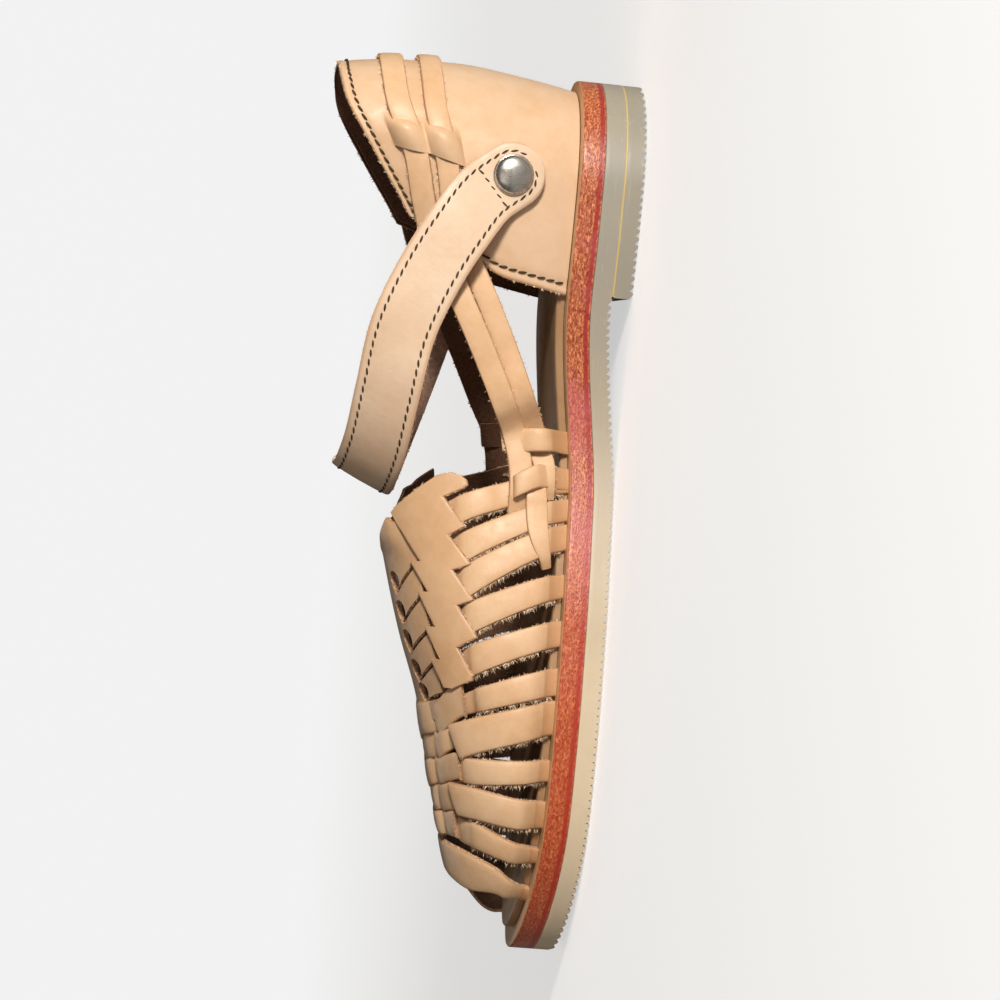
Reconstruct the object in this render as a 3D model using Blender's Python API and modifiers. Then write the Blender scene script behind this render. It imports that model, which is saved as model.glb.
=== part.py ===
"""A woven leather sandal for the right foot, standing on its sole.

Lengths are metres. The toe points along +Y, the inner side of the foot faces -X and the floor
is Z = 0. Inside the functions a place along the shoe is its distance from the back of the sole.
"""
import math

import bmesh
import bpy
import numpy as np
from mathutils import Matrix, Vector

# Sole
SOLE_LENGTH = 0.262
BALL_WIDTH = 0.090
HEEL_WIDTH = 0.062
OUTSOLE = 0.0060
MIDSOLE = 0.0068
INSOLE = 0.0022
HEEL_LIFT = 0.0060
LIFT_LENGTH = 0.065
TOE_SPRING = 0.0035
TOOTH_PITCH = 0.00226
TOOTH_DEPTH = 0.0011
EDGE_ROUND = 0.0007

# Upper
LEDGE = 0.0035
WALL = 0.0018
VAMP_HEIGHT = 0.052
STRAP_RISE = 0.0006
PLATE_RISE = 0.0013
COUNTER_LENGTH = 0.0656
COUNTER_HEIGHT = 0.072

# Straps round the heel
BAND_WIDTH = 0.0070
BAND_THICKNESS = 0.0016
BRIDGE_AT = 0.0225
BRIDGE_LENGTH = 0.0070
SLIT_WIDTH = 0.0047
SLIT_SPARE = 0.0014

# Ankle strap and its snaps
ANKLE_WIDTH = 0.0195
ANKLE_THICKNESS = 0.0024
SNAP_DIAMETER = 0.0120
SNAP_DOME = 0.0026
POST_DIAMETER = 0.0036
STUD_DIAMETER = 0.0090
STUD_THICKNESS = 0.0010

# Room between two pieces that touch
GAP = 0.0003

# Sections of the sole: place as a share of the length, width as a share of the heel or ball width
# that counts there, and the middle's way to the outer side as a share of the ball width
SOLE = (
    ("at", "width", "shift"),
    (0.00, 1.00, 0.000),
    (0.18, 1.00, 0.000),
    (0.42, 0.79, 0.040),
    (0.62, 0.96, 0.033),
    (0.71, 1.00, 0.017),
    (0.86, 0.90, -0.022),
    (1.00, 0.68, -0.090),
)
HEEL_ROUND = 0.124
TOE_ROUND = 0.20

# Crest of the woven front: height as a share of the front's height, and the crest's way to the
# inner side as a share of the ball width
CREST = (
    ("at", "height", "shift"),
    (0.38, 1.14, 0.02),
    (0.46, 1.06, 0.03),
    (0.55, 0.95, 0.05),
    (0.65, 0.80, 0.06),
    (0.72, 0.67, 0.06),
    (0.79, 0.58, 0.06),
    (0.85, 0.50, 0.06),
    (0.92, 0.38, 0.08),
    (1.00, 0.24, 0.09),
)

# Straps of the woven front: number, middle at the sole and middle at the top, as shares of the
# length
STRAPS = (
    ("number", "sole", "top"),
    (0, 0.412, 0.450),
    (1, 0.470, 0.520),
    (2, 0.502, 0.570),
    (3, 0.538, 0.612),
    (4, 0.583, 0.648),
    (5, 0.631, 0.690),
    (6, 0.680, 0.728),
    (7, 0.728, 0.762),
    (8, 0.780, 0.792),
    (9, 0.830, 0.822),
    (10, 0.878, 0.856),
    (11, 0.925, 0.897),
)
STRAP_SHARE_LOW = 0.37
STRAP_SHARE_TOP = 0.47

# Back edge of the slotted plate: way from the middle line as a share of the half girth, and
# place as a share of the length
THROAT = (
    ("girth", "at"),
    (0.00, 0.548),
    (0.15, 0.515),
    (0.30, 0.478),
    (0.42, 0.462),
    (0.52, 0.467),
    (0.58, 0.476),
)
SLOT_GIRTH = 0.50
OPEN_GIRTH = 0.26
WEAVE_GIRTH = (0.76, 0.88)
SHORT_STRAP_GIRTH = 0.74
LAST_PLATE_STRAP = 6
GIRTH_LINES = (1.0, 0.94, 0.88, 0.82, 0.76, 0.66, 0.57, 0.50, 0.46, 0.36, 0.25, 0.17, 0.09)

# Heel cup: rise as a share of its height, front edge as a share of its length, half width as a
# share of the heel width, and the back's way forwards as a share of the heel width
CUP = (
    ("rise", "front", "half", "back"),
    (0.00, 1.000, 0.444, 0.056),
    (0.12, 0.985, 0.472, 0.030),
    (0.25, 0.968, 0.482, 0.008),
    (0.48, 0.920, 0.480, -0.022),
    (0.62, 0.835, 0.468, -0.020),
    (0.80, 0.765, 0.442, -0.008),
    (1.00, 0.716, 0.408, 0.022),
)

# Top line of the cup: way round from the back to the front edge, height as a share of its height
TOP_LINE = (
    ("round", "height"),
    (0.00, 1.000),
    (0.30, 0.992),
    (0.50, 0.960),
    (0.75, 0.840),
    (1.00, 0.667),
)
CUP_RISES = (0.0, 0.08, 0.18, 0.29, 0.40, 0.50)
CUP_ROUND_POWER = 1.8
CUP_BACK_LINES = 8
CUP_FRONT_LINES = 3
RAMP_RISE = 0.045

# Straps round the heel on the cup: way round, and rise of the upper and the lower one
BANDS = (
    ("round", "upper", "lower"),
    (0.00, 0.786, 0.628),
    (0.50, 0.786, 0.628),
    (0.77, 0.788, 0.635),
    (0.90, 0.835, 0.664),
    (1.00, 0.870, 0.645),
)

# The same straps in front of the cup: place as a share of the length, height over the midsole
# as a share of the front's height, and half the spread as a share of the heel width
UPPER_BAND_FRONT = (
    ("at", "height", "spread"),
    (0.250, 0.640, 0.520),
    (0.330, 0.490, 0.545),
)
LOWER_BAND_FRONT = (
    ("at", "height", "spread"),
    (0.255, 0.465, 0.490),
    (0.320, 0.310, 0.500),
)
UPPER_BAND_END = (("at", "height"), (0.430, 0.250), (0.487, 0.150))
LOWER_BAND_END = (("at", "height"), (0.392, 0.142), (0.421, 0.096))

# Ankle strap from the inner snap over the instep to the tail on the outer side: place as a
# share of the length, height as a share of the front's height, spread as a share of the heel
# width (the inner side counts down), and how far its face leans back from upright
ANKLE = (
    ("at", "height", "spread", "lean"),
    (0.152, 0.560, -0.512, 0.00),
    (0.190, 0.670, -0.540, 0.04),
    (0.246, 0.815, -0.540, 0.12),
    (0.300, 0.930, -0.530, 0.22),
    (0.374, 1.030, -0.470, 0.34),
    (0.435, 1.100, -0.330, 0.42),
    (0.468, 1.140, -0.150, 0.46),
    (0.474, 1.140, 0.040, 0.46),
    (0.460, 1.080, 0.230, 0.42),
    (0.420, 0.980, 0.390, 0.34),
    (0.360, 0.840, 0.490, 0.26),
    (0.290, 0.690, 0.545, 0.16),
    (0.225, 0.560, 0.570, 0.08),
    (0.168, 0.450, 0.525, 0.02),
)
ANKLE_START = (0.0, 0.62, 0.78)
ANKLE_FINISH = (0.0, 0.90, 0.43)
SNAP_AT = 0.124
SNAP_HEIGHT = 0.377
TAIL_ROUND = (0.50, 0.40)
TAIL_HEIGHT = (0.270, 0.230)

# Facets
SOLE_STATIONS = 48
BAND_STEP = 0.0065
ANKLE_STEP = 0.0040
ANKLE_END_STATIONS = 6
SNAP_SIDES = 14


def column(table, name):
    """The numbers of one named column of a table."""
    place = table[0].index(name)
    return np.array([row[place] for row in table[1:]], dtype=float)


def along(table, name, at):
    """A smooth curve through one column, read against the table's first column."""
    x = column(table, table[0][0])
    y = column(table, name)
    slope = np.gradient(y, x)
    at = np.clip(np.asarray(at, dtype=float), x[0], x[-1])
    k = np.clip(np.searchsorted(x, at, side="right") - 1, 0, len(x) - 2)
    step = x[k + 1] - x[k]
    t = (at - x[k]) / step
    rise = y[k + 1] - y[k]
    start = step * slope[k]
    end = step * slope[k + 1]
    return y[k] + start * t + (3 * rise - 2 * start - end) * t**2 + (start + end - 2 * rise) * t**3


def ease(low, high, value):
    """0 below low, 1 above high and a smooth step between."""
    t = np.clip((np.asarray(value, dtype=float) - low) / (high - low), 0.0, 1.0)
    return t * t * (3 - 2 * t)


def whole_width(at):
    """The width that counts at a place: the heel's at the back, the ball's in front."""
    return HEEL_WIDTH + (BALL_WIDTH - HEEL_WIDTH) * ease(0.20, 0.62, at)


def outline(place, inset):
    """Inner and outer x of the sole's outline, moved inwards by an inset on every side."""
    at = np.clip((place - inset) / (SOLE_LENGTH - 2 * inset), 0.0, 1.0)
    heel = 1 - np.clip(1 - at / HEEL_ROUND, 0.0, 1.0) ** 2
    toe = 1 - np.clip((at - 1 + TOE_ROUND) / TOE_ROUND, 0.0, 1.0) ** 2.2
    whole = whole_width(at)
    half = whole / 2 * along(SOLE, "width", at) * np.sqrt(heel * toe) * (1 - 2 * inset / whole)
    middle = along(SOLE, "shift", at) * BALL_WIDTH
    return middle - half, middle + half


def floor_height(place):
    """Height of the outsole's underside: over the lift, down the arch, flat, toe spring."""
    arch_end = LIFT_LENGTH + 0.24 * SOLE_LENGTH
    drop = ease(LIFT_LENGTH, arch_end, place)
    spring = np.clip((place / SOLE_LENGTH - 0.82) / 0.18, 0.0, 1.0)
    return HEEL_LIFT * (1 - drop) + TOE_SPRING * spring**2


def seat_height(place):
    """Height of the midsole's top, on which the upper and the insole stand."""
    return floor_height(place) + OUTSOLE + GAP + MIDSOLE


def material(name, colour, roughness, metallic=0.0):
    """A plain material for one kind of piece."""
    made = bpy.data.materials.new(name)
    made.use_nodes = True
    shader = made.node_tree.nodes["Principled BSDF"]
    shader.inputs["Base Color"].default_value = (*colour, 1.0)
    shader.inputs["Roughness"].default_value = roughness
    shader.inputs["Metallic"].default_value = metallic
    return made


def add_piece(name, points, faces, finish, collection):
    """One mesh object with its faces turned outwards and its smooth parts shaded smooth."""
    mesh = bpy.data.meshes.new(name)
    mesh.from_pydata([tuple(point) for point in points], [], [tuple(face) for face in faces])
    mesh.validate()
    mesh.shade_smooth()
    mesh.set_sharp_from_angle(angle=math.radians(35))
    mesh.materials.append(finish)
    piece = bpy.data.objects.new(name, mesh)
    collection.objects.link(piece)
    return piece


def loft(name, rings, finish, collection):
    """A closed solid through a row of rings with equally many points each."""
    count, size = rings.shape[:2]
    index = np.arange(count * size).reshape(count, size)
    turned = np.roll(index, -1, axis=1)
    quads = np.stack([index[:-1], index[1:], turned[1:], turned[:-1]], axis=-1).reshape(-1, 4)
    faces = [*quads.tolist(), index[0].tolist(), index[-1][::-1].tolist()]
    piece = add_piece(name, rings.reshape(-1, 3), faces, finish, collection)
    shape = bmesh.new()
    shape.from_mesh(piece.data)
    bmesh.ops.recalc_face_normals(shape, faces=shape.faces)
    shape.to_mesh(piece.data)
    shape.free()
    return piece


def end_spaced(low, high, count):
    """Places between two ends, closer together near both ends."""
    turn = np.linspace(0, math.pi, count)
    return low + (high - low) * (1 - np.cos(turn)) / 2


def toothed(places_from, places_to):
    """Places and depths of saw teeth: a flat land, a slope and a sharp notch for each tooth."""
    count = int((places_to - places_from) / TOOTH_PITCH)
    pitch = (places_to - places_from) / count
    starts = places_from + np.arange(count)[:, None] * pitch
    places = (starts + pitch * np.array([0.12, 0.42, 0.98])).ravel()
    depths = np.tile([0.0, 0.0, TOOTH_DEPTH], count)
    return places, depths


def slab_rings(places, bottom, top, inset, rounding):
    """Rings of a sole layer: a box section whose top edges are rounded off."""
    inner, outer = outline(places, inset)
    step = np.minimum(rounding, (outer - inner) / 4)
    x = np.stack([inner, outer, outer, outer - step, inner + step, inner], axis=1)
    z = np.stack([bottom, bottom, top - step, top, top, top - step], axis=1)
    y = np.repeat(places[:, None], x.shape[1], axis=1)
    return np.stack([x, y, z], axis=2)


def box_rings(places, bottom, top):
    """Rings of a sole layer with a plain box section."""
    inner, outer = outline(places, 0.0)
    x = np.stack([inner, outer, outer, inner], axis=1)
    z = np.stack([bottom, bottom, top, top], axis=1)
    y = np.repeat(places[:, None], x.shape[1], axis=1)
    return np.stack([x, y, z], axis=2)


def build_sole(finishes, collection):
    """Heel lift, outsole, midsole and insole."""
    end = 0.0003
    front = SOLE_LENGTH - end
    places, depths = toothed(end, LIFT_LENGTH)
    rings = box_rings(places, depths, np.full_like(places, HEEL_LIFT - GAP))
    loft("heel_lift", rings, finishes["rubber"], collection)

    heel = end_spaced(end, 2 * LIFT_LENGTH, 36)
    heel = heel[heel < LIFT_LENGTH]
    teeth, depths = toothed(LIFT_LENGTH, front)
    places = np.concatenate([heel, teeth])
    bottom = floor_height(places) + np.concatenate([np.zeros_like(heel), depths])
    rings = box_rings(places, bottom, floor_height(places) + OUTSOLE)
    loft("outsole", rings, finishes["rubber"], collection)

    places = end_spaced(end, front, SOLE_STATIONS)
    bottom = floor_height(places) + OUTSOLE + GAP
    rings = slab_rings(places, bottom, seat_height(places), 0.0, EDGE_ROUND)
    loft("midsole", rings, finishes["midsole_leather"], collection)

    inset = LEDGE + WALL + 3 * GAP
    places = end_spaced(inset + end, SOLE_LENGTH - inset - end, SOLE_STATIONS - 8)
    bottom = seat_height(places) + GAP
    rings = slab_rings(places, bottom, bottom + INSOLE, inset, EDGE_ROUND)
    loft("insole", rings, finishes["insole_leather"], collection)


def vamp_point(place, girth):
    """A point of the woven front's outer face.

    The girth runs from -1 at the inner foot over 0 at the crest to 1 at the outer foot. The
    section is a full rounded arch that stands upright on the sole and swells just above it.
    """
    place, girth = np.broadcast_arrays(np.asarray(place, float), np.asarray(girth, float))
    inner, outer = outline(place, LEDGE)
    at = place / SOLE_LENGTH
    crest = (inner + outer) / 2 - along(CREST, "shift", at) * BALL_WIDTH
    height = along(CREST, "height", at) * VAMP_HEIGHT
    angle = np.clip(1 - np.abs(girth), 0, 1) * math.pi / 2
    reach = np.where(girth < 0, inner - crest, outer - crest)
    swell = 0.18 * np.sin(angle) * np.cos(angle) ** 2
    x = crest + reach * (np.cos(angle) ** 0.78 + swell)
    z = seat_height(place) + 2 * GAP + height * np.sin(angle) ** 0.92
    return np.stack([x, place, z], axis=-1)


def girth_at_height(place, height):
    """Girth share at which the woven front has a height over the midsole."""
    share = height / (along(CREST, "height", place / SOLE_LENGTH) * VAMP_HEIGHT)
    return 1 - 2 / math.pi * np.arcsin(np.clip(share, 0, 1) ** (1 / 0.92))


def face_out(surface, first, second, step=0.0005):
    """Unit normals of a surface of two values, from small steps of each."""
    run = surface(first + step, second) - surface(first - step, second)
    rise = surface(first, second + step) - surface(first, second - step)
    normal = np.cross(run, rise)
    return normal / np.linalg.norm(normal, axis=-1, keepdims=True)


def strap_line(number, girth):
    """Place along the shoe of a line of the weave, for a strap number with its fraction."""
    low = along(STRAPS, "sole", number)
    top = along(STRAPS, "top", number)
    up = ease(0.0, 0.75, 1 - np.abs(girth))
    return (low + (top - low) * up) * SOLE_LENGTH


def build_vamp(finishes, collection):
    """The woven front: one wall with its straps and plate raised and its gaps left out.

    Each strap has a back edge, a raised middle and a front edge; between the front edge of one
    and the back edge of the next lies a gap, left open at the sides and closed in the plate.
    """
    numbers = column(STRAPS, "number")
    half_girth = np.array(GIRTH_LINES)
    girth = np.concatenate([-half_girth, [0.0], half_girth[::-1]])
    height = 1 - np.abs(girth)
    half_strap = STRAP_SHARE_LOW + (STRAP_SHARE_TOP - STRAP_SHARE_LOW) * ease(0.1, 0.6, height)
    offsets = np.array([-1.0, 0.0, 1.0])
    lines = numbers[:, None, None] + offsets[None, :, None] * half_strap
    lines = lines.reshape(-1, len(girth))
    place = strap_line(lines, girth[None, :])

    first = 3
    joined = 3 * (LAST_PLATE_STRAP - 1)
    throat = along(THROAT, "at", np.abs(girth)) * SOLE_LENGTH
    throat = np.where(np.abs(girth) < column(THROAT, "girth")[-1], throat, place[first])
    squeeze = (place[joined] - throat) / (place[joined] - place[first])
    moved = throat + (place[first:joined] - place[first]) * squeeze
    place[first:joined] = moved

    strap = np.repeat(numbers, 3)[:, None]
    middle = np.tile(offsets == 0, len(numbers))[:, None]
    rise = np.where(middle, STRAP_RISE, 0.0) * np.ones_like(place)
    plate = (np.abs(girth)[None, :] < SLOT_GIRTH) & (strap <= LAST_PLATE_STRAP)
    rise = np.where(plate, PLATE_RISE, rise)
    side = np.where(girth < 0, 0, 1)[None, :]
    crossing = (np.abs(girth)[None, :] < OPEN_GIRTH) & (strap > LAST_PLATE_STRAP)
    over = crossing & middle & ((strap + side) % 2 == 0)
    rise = np.where(over, PLATE_RISE, rise)

    girth_grid = np.repeat(girth[None, :], len(place), axis=0)
    normal = face_out(vamp_point, place, girth_grid)
    points = vamp_point(place, girth_grid) - normal * rise[..., None]

    rows, cols = place.shape
    cell_girth = (np.abs(girth[1:]) + np.abs(girth[:-1]))[None, :] / 2
    row = np.arange(rows - 1)[:, None]
    cell_strap = row // 3
    gap = row % 3 == 2
    weave = (cell_girth > WEAVE_GIRTH[0]) & (cell_girth < WEAVE_GIRTH[1]) & (cell_strap < 3)
    slotted = (cell_girth < SLOT_GIRTH) & (cell_strap >= 1) & (cell_strap < LAST_PLATE_STRAP)
    ridge = (cell_girth < OPEN_GIRTH) & (cell_strap >= LAST_PLATE_STRAP)
    keep = ~gap | weave | slotted | ridge
    keep &= ~((cell_strap == 0) & (cell_girth < SHORT_STRAP_GIRTH))
    slit = gap & (np.arange(cols - 1)[None, :] == np.searchsorted(girth, -0.13) - 1)
    keep &= ~(slit & (cell_strap >= 2) & (cell_strap < LAST_PLATE_STRAP))

    wall("vamp", points, keep, finishes["upper_leather"], collection)


def wall(name, points, keep, finish, collection):
    """A leather wall: the kept cells of a grid of outer points, thickened inwards."""
    rows, cols = points.shape[:2]
    index = np.arange(rows * cols).reshape(rows, cols)
    quads = np.stack([index[:-1, :-1], index[:-1, 1:], index[1:, 1:], index[1:, :-1]], axis=-1)
    quads = quads[keep]
    used, faces = np.unique(quads, return_inverse=True)
    faces = faces.reshape(quads.shape)
    piece = add_piece(name, points.reshape(-1, 3)[used], faces.tolist(), finish, collection)
    thicken = piece.modifiers.new("wall", "SOLIDIFY")
    thicken.thickness = WALL
    thicken.offset = -1.0
    thicken.use_quality_normals = True
    return piece


def cup_point(way_round, rise):
    """A point of the heel cup's outer face.

    The way round runs from -1 at the inner front edge over 0 at the back to 1 at the outer
    front edge. The foot follows the sole's outline; every line above it is the same curve,
    narrowed, shortened and moved by the table.
    """
    way_round, rise = np.broadcast_arrays(np.asarray(way_round, float), np.asarray(rise, float))
    span = COUNTER_LENGTH - LEDGE
    behind = span * np.abs(way_round) ** CUP_ROUND_POWER
    inner, outer = outline(LEDGE + behind, LEDGE)
    foot_half = column(CUP, "half")[0]
    spread = along(CUP, "half", rise) / foot_half
    back = along(CUP, "back", rise) * HEEL_WIDTH
    front = along(CUP, "front", rise) * COUNTER_LENGTH
    place = back + behind / span * (front - back)
    x = np.where(way_round < 0, inner, outer) * spread
    top = along(TOP_LINE, "height", np.abs(way_round)) * COUNTER_HEIGHT
    foot = seat_height(place) + GAP
    return np.stack([x, place, foot + rise * top], axis=-1)


def round_at_place(place, rise):
    """Way round the cup, on one side, that lies at a distance from the back of the sole."""
    back = along(CUP, "back", rise) * HEEL_WIDTH
    front = along(CUP, "front", rise) * COUNTER_LENGTH
    return ((place - back) / (front - back)) ** (1 / CUP_ROUND_POWER)


def slit_half_rise():
    """Half the height of a slit as a share of the cup's height at the bridges."""
    here = along(TOP_LINE, "height", 0.65) * COUNTER_HEIGHT
    return (BAND_WIDTH / 2 + SLIT_SPARE) / here


def bridge_rise():
    """How far a bridge stands out, so that the strap passes half inside the wall's face."""
    return WALL + 2 * GAP + BAND_THICKNESS / 2


def bridge_lines():
    """The four ways round at the slits' edges, from the back to the front."""
    middle = (column(BANDS, "upper")[0] + column(BANDS, "lower")[0]) / 2
    reach = BRIDGE_LENGTH / 2
    places = BRIDGE_AT + np.array([-reach - SLIT_WIDTH, -reach, reach, reach + SLIT_WIDTH])
    return round_at_place(places, middle)


def build_counter(finishes, collection):
    """The heel cup, with slits and raised bridges for the straps that run round it."""
    slits = bridge_lines()
    back_part = np.linspace(0, slits[0], CUP_BACK_LINES)
    front_part = np.linspace(slits[3], 1, CUP_FRONT_LINES + 1)
    half = np.concatenate([back_part, slits[1:2], [slits[1:3].mean()], slits[2:3], front_part])
    way_round = np.concatenate([-half[:0:-1], half])

    reach = slit_half_rise()
    upper = column(BANDS, "upper")[0]
    lower = column(BANDS, "lower")[0]
    slit_rises = [lower - reach, lower, lower + reach, upper - reach, upper, upper + reach]
    outer_rises = [lower - reach - RAMP_RISE, (upper + lower) / 2, upper + reach + RAMP_RISE, 0.94, 1.0]
    rises = np.array(sorted([*CUP_RISES, *slit_rises, *outer_rises]))

    ways, heights = np.meshgrid(way_round, rises, indexing="ij")
    nearest = np.minimum(np.abs(heights - upper), np.abs(heights - lower))
    bump = 1 - ease(reach, reach + RAMP_RISE, nearest)
    spare = 1e-6
    inside = (np.abs(ways) > slits[1] - spare) & (np.abs(ways) < slits[2] + spare)
    lift = np.where(inside, bump * bridge_rise(), 0.0)
    normal = cup_normal(ways, heights)
    points = cup_point(ways, heights) + normal * lift[..., None]

    mid_way = np.abs(way_round[1:] + way_round[:-1])[:, None] / 2
    mid_rise = (rises[1:] + rises[:-1])[None, :] / 2
    at_slit = ((mid_way > slits[0]) & (mid_way < slits[1])) | ((mid_way > slits[2]) & (mid_way < slits[3]))
    in_band = np.minimum(np.abs(mid_rise - upper), np.abs(mid_rise - lower)) < reach
    keep = ~(at_slit & in_band)
    return wall("counter", points[:, ::-1], keep[:, ::-1], finishes["upper_leather"], collection)


def cup_normal(way_round, rise):
    """Outward unit normals of the heel cup."""
    return face_out(cup_point, np.asarray(way_round, float), np.asarray(rise, float))


def through_points(controls, longest):
    """A smooth curve through control points, with stations no further apart than the longest."""
    controls = np.asarray(controls, dtype=float)
    chord = np.concatenate([[0], np.cumsum(np.linalg.norm(np.diff(controls[:, :3], axis=0), axis=1))])
    slope = np.gradient(controls, chord, axis=0)
    counts = np.ceil(np.diff(chord) / longest).astype(int)
    spans = zip(chord[:-1], chord[1:], counts)
    at = np.concatenate([np.linspace(low, high, count, endpoint=False) for low, high, count in spans])
    at = np.append(at, chord[-1])
    k = np.clip(np.searchsorted(chord, at, side="right") - 1, 0, len(chord) - 2)
    step = (chord[k + 1] - chord[k])[:, None]
    t = (at - chord[k])[:, None] / step
    rise = controls[k + 1] - controls[k]
    start = step * slope[k]
    end = step * slope[k + 1]
    low = controls[k]
    return low + start * t + (3 * rise - 2 * start - end) * t**2 + (start + end - 2 * rise) * t**3


def ribbon(name, centres, faces_to, widths, thickness, finish, collection):
    """A flat strap with square edges along a curve, its face turned to the given directions."""
    tangent = np.gradient(centres, axis=0)
    tangent /= np.linalg.norm(tangent, axis=1, keepdims=True)
    across = np.cross(faces_to, tangent)
    across /= np.linalg.norm(across, axis=1, keepdims=True)
    out = np.cross(tangent, across)
    half_across = across * (np.asarray(widths) / 2)[:, None]
    half_out = out * thickness / 2
    corners = [-half_across - half_out, half_across - half_out, half_across + half_out, half_out - half_across]
    rings = np.stack([centres + corner for corner in corners], axis=1)
    return loft(name, rings, finish, collection)


def band_controls(which, front, end):
    """Centre points and face directions of one heel strap on one side, from the back on."""
    slits = bridge_lines()
    outside = GAP + BAND_THICKNESS / 2
    under = bridge_rise() - WALL - GAP - BAND_THICKNESS / 2
    back_part = np.linspace(0.0, slits[0] - 0.03, 5)
    near = 0.35
    way_in = slits[0] + (slits[1] - slits[0]) * np.array([near, 1 - near])
    way_out = slits[2] + (slits[3] - slits[2]) * np.array([near, 1 - near])
    bridge_part = np.concatenate([way_in, way_out])
    front_part = np.linspace(slits[3] + 0.03, 1.0, 3)
    stops = np.concatenate([back_part, bridge_part, front_part])
    offsets = np.full(len(stops), outside)
    offsets[len(back_part) + 1 : len(back_part) + 3] = under
    offsets[[len(back_part) - 1, len(back_part) + 4]] += GAP
    rise = along(BANDS, which, stops)
    normals = cup_normal(stops, rise)
    points = cup_point(stops, rise) + normals * offsets[:, None]
    rows = [np.concatenate([point, normal]) for point, normal in zip(points, normals)]
    for at, height, spread in front[1:]:
        place = at * SOLE_LENGTH
        level = seat_height(place) + height * VAMP_HEIGHT
        rows.append(np.array([spread * HEEL_WIDTH, place, level, 1.0, 0.0, 0.0]))
    for at, height in end[1:]:
        place = at * SOLE_LENGTH
        girth = girth_at_height(place, height * VAMP_HEIGHT)
        normal = -face_out(vamp_point, np.array(place), np.array(girth))
        point = vamp_point(place, girth) + normal * (outside + STRAP_RISE)
        rows.append(np.concatenate([point, normal]))
    return np.array(rows)


def inner_side(rows):
    """The same control rows on the inner side of the foot."""
    turned = rows.copy()
    turned[:, [0, 3]] *= -1
    return turned


def build_band(name, which, front, end, finishes, collection):
    """One strap round the heel, from the inner side of the weave to the outer side."""
    outer = band_controls(which, front, end)
    inner = inner_side(outer)
    count = len(end) - 1
    for row in range(count):
        place, height = end[1 + row][0] * SOLE_LENGTH, end[1 + row][1] * VAMP_HEIGHT
        girth = -girth_at_height(place, height)
        normal = -face_out(vamp_point, np.array(place), np.array(girth))
        point = vamp_point(place, girth) + normal * (GAP + BAND_THICKNESS / 2 + STRAP_RISE)
        inner[len(inner) - count + row] = np.concatenate([point, normal])
    rows = np.concatenate([inner[:0:-1], outer])
    curve = through_points(rows, BAND_STEP)
    widths = np.full(len(curve), BAND_WIDTH)
    return ribbon(
        name, curve[:, :3], curve[:, 3:], widths, BAND_THICKNESS, finishes["upper_leather"], collection
    )


def snap_place(side):
    """Point and outward direction on the cup where a snap sits."""
    height = SNAP_HEIGHT * VAMP_HEIGHT
    way = round_at_place(SNAP_AT * SOLE_LENGTH, height / COUNTER_HEIGHT)
    rise = height / (along(TOP_LINE, "height", way) * COUNTER_HEIGHT)
    return cup_point(side * way, rise), cup_normal(side * way, rise)


def along_face(normal, direction):
    """A direction laid flat into the face that has a normal."""
    flat = np.asarray(direction) - normal * np.dot(direction, normal)
    return flat / np.linalg.norm(flat)


def ankle_controls():
    """Centre points and face directions of the ankle strap."""
    seat = GAP + ANKLE_THICKNESS / 2
    over_bands = seat + GAP + BAND_THICKNESS + GAP
    rows = []
    inner_point, inner_normal = snap_place(-1)
    forward = along_face(inner_normal, ANKLE_START)
    for reach in (-0.48, 0.0, 0.30, 0.36):
        point = inner_point + forward * ANKLE_WIDTH * reach + inner_normal * (seat + GAP * (reach > 0.33))
        rows.append(np.concatenate([point, inner_normal]))
    for at, height, spread, lean in ANKLE[1:]:
        place = at * SOLE_LENGTH
        level = seat_height(place) + height * VAMP_HEIGHT
        x = spread * HEEL_WIDTH + np.sign(spread) * (over_bands - seat)
        turn = math.atan2(spread, 0.55 * lean / 0.46) if lean > 0.2 else math.copysign(math.pi / 2, spread)
        face = np.array([math.sin(turn), math.cos(turn), lean])
        rows.append(np.concatenate([[x, place, level], face / np.linalg.norm(face)]))
    outer_point, outer_normal = snap_place(1)
    forward = along_face(outer_normal, ANKLE_FINISH)
    for reach in (0.36, 0.30, 0.0, -0.34):
        point = outer_point + forward * ANKLE_WIDTH * reach + outer_normal * seat
        rows.append(np.concatenate([point, outer_normal]))
    for way, height in zip(TAIL_ROUND, TAIL_HEIGHT):
        top = along(TOP_LINE, "height", way) * COUNTER_HEIGHT
        rise = height * VAMP_HEIGHT / top
        normal = cup_normal(np.array(way), np.array(rise))
        point = cup_point(way, rise) + normal * (seat + GAP)
        rows.append(np.concatenate([point, normal]))
    return np.array(rows)


def build_ankle_strap(finishes, collection):
    """The ankle strap: a flat band with a round end at each side."""
    fine = through_points(ankle_controls(), 0.0005)
    run = np.concatenate([[0], np.cumsum(np.linalg.norm(np.diff(fine[:, :3], axis=0), axis=1))])
    half = ANKLE_WIDTH / 2
    round_end = half * (1 - np.cos(np.linspace(0.25, math.pi / 2, ANKLE_END_STATIONS)))
    straight = run[-1] - 2 * half
    middle = half + straight * np.linspace(0, 1, int(straight / ANKLE_STEP))[1:-1]
    at = np.concatenate([round_end, middle, run[-1] - round_end[::-1]])
    curve = np.stack([np.interp(at, run, row) for row in fine.T], axis=1)
    centres = curve[:, :3]
    share = np.clip(np.minimum(at, run[-1] - at) / half, 0, 1)
    widths = ANKLE_WIDTH * np.sqrt(1 - (1 - share) ** 2)
    return ribbon(
        "ankle_strap", centres, curve[:, 3:], widths, ANKLE_THICKNESS, finishes["upper_leather"], collection
    )


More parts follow.
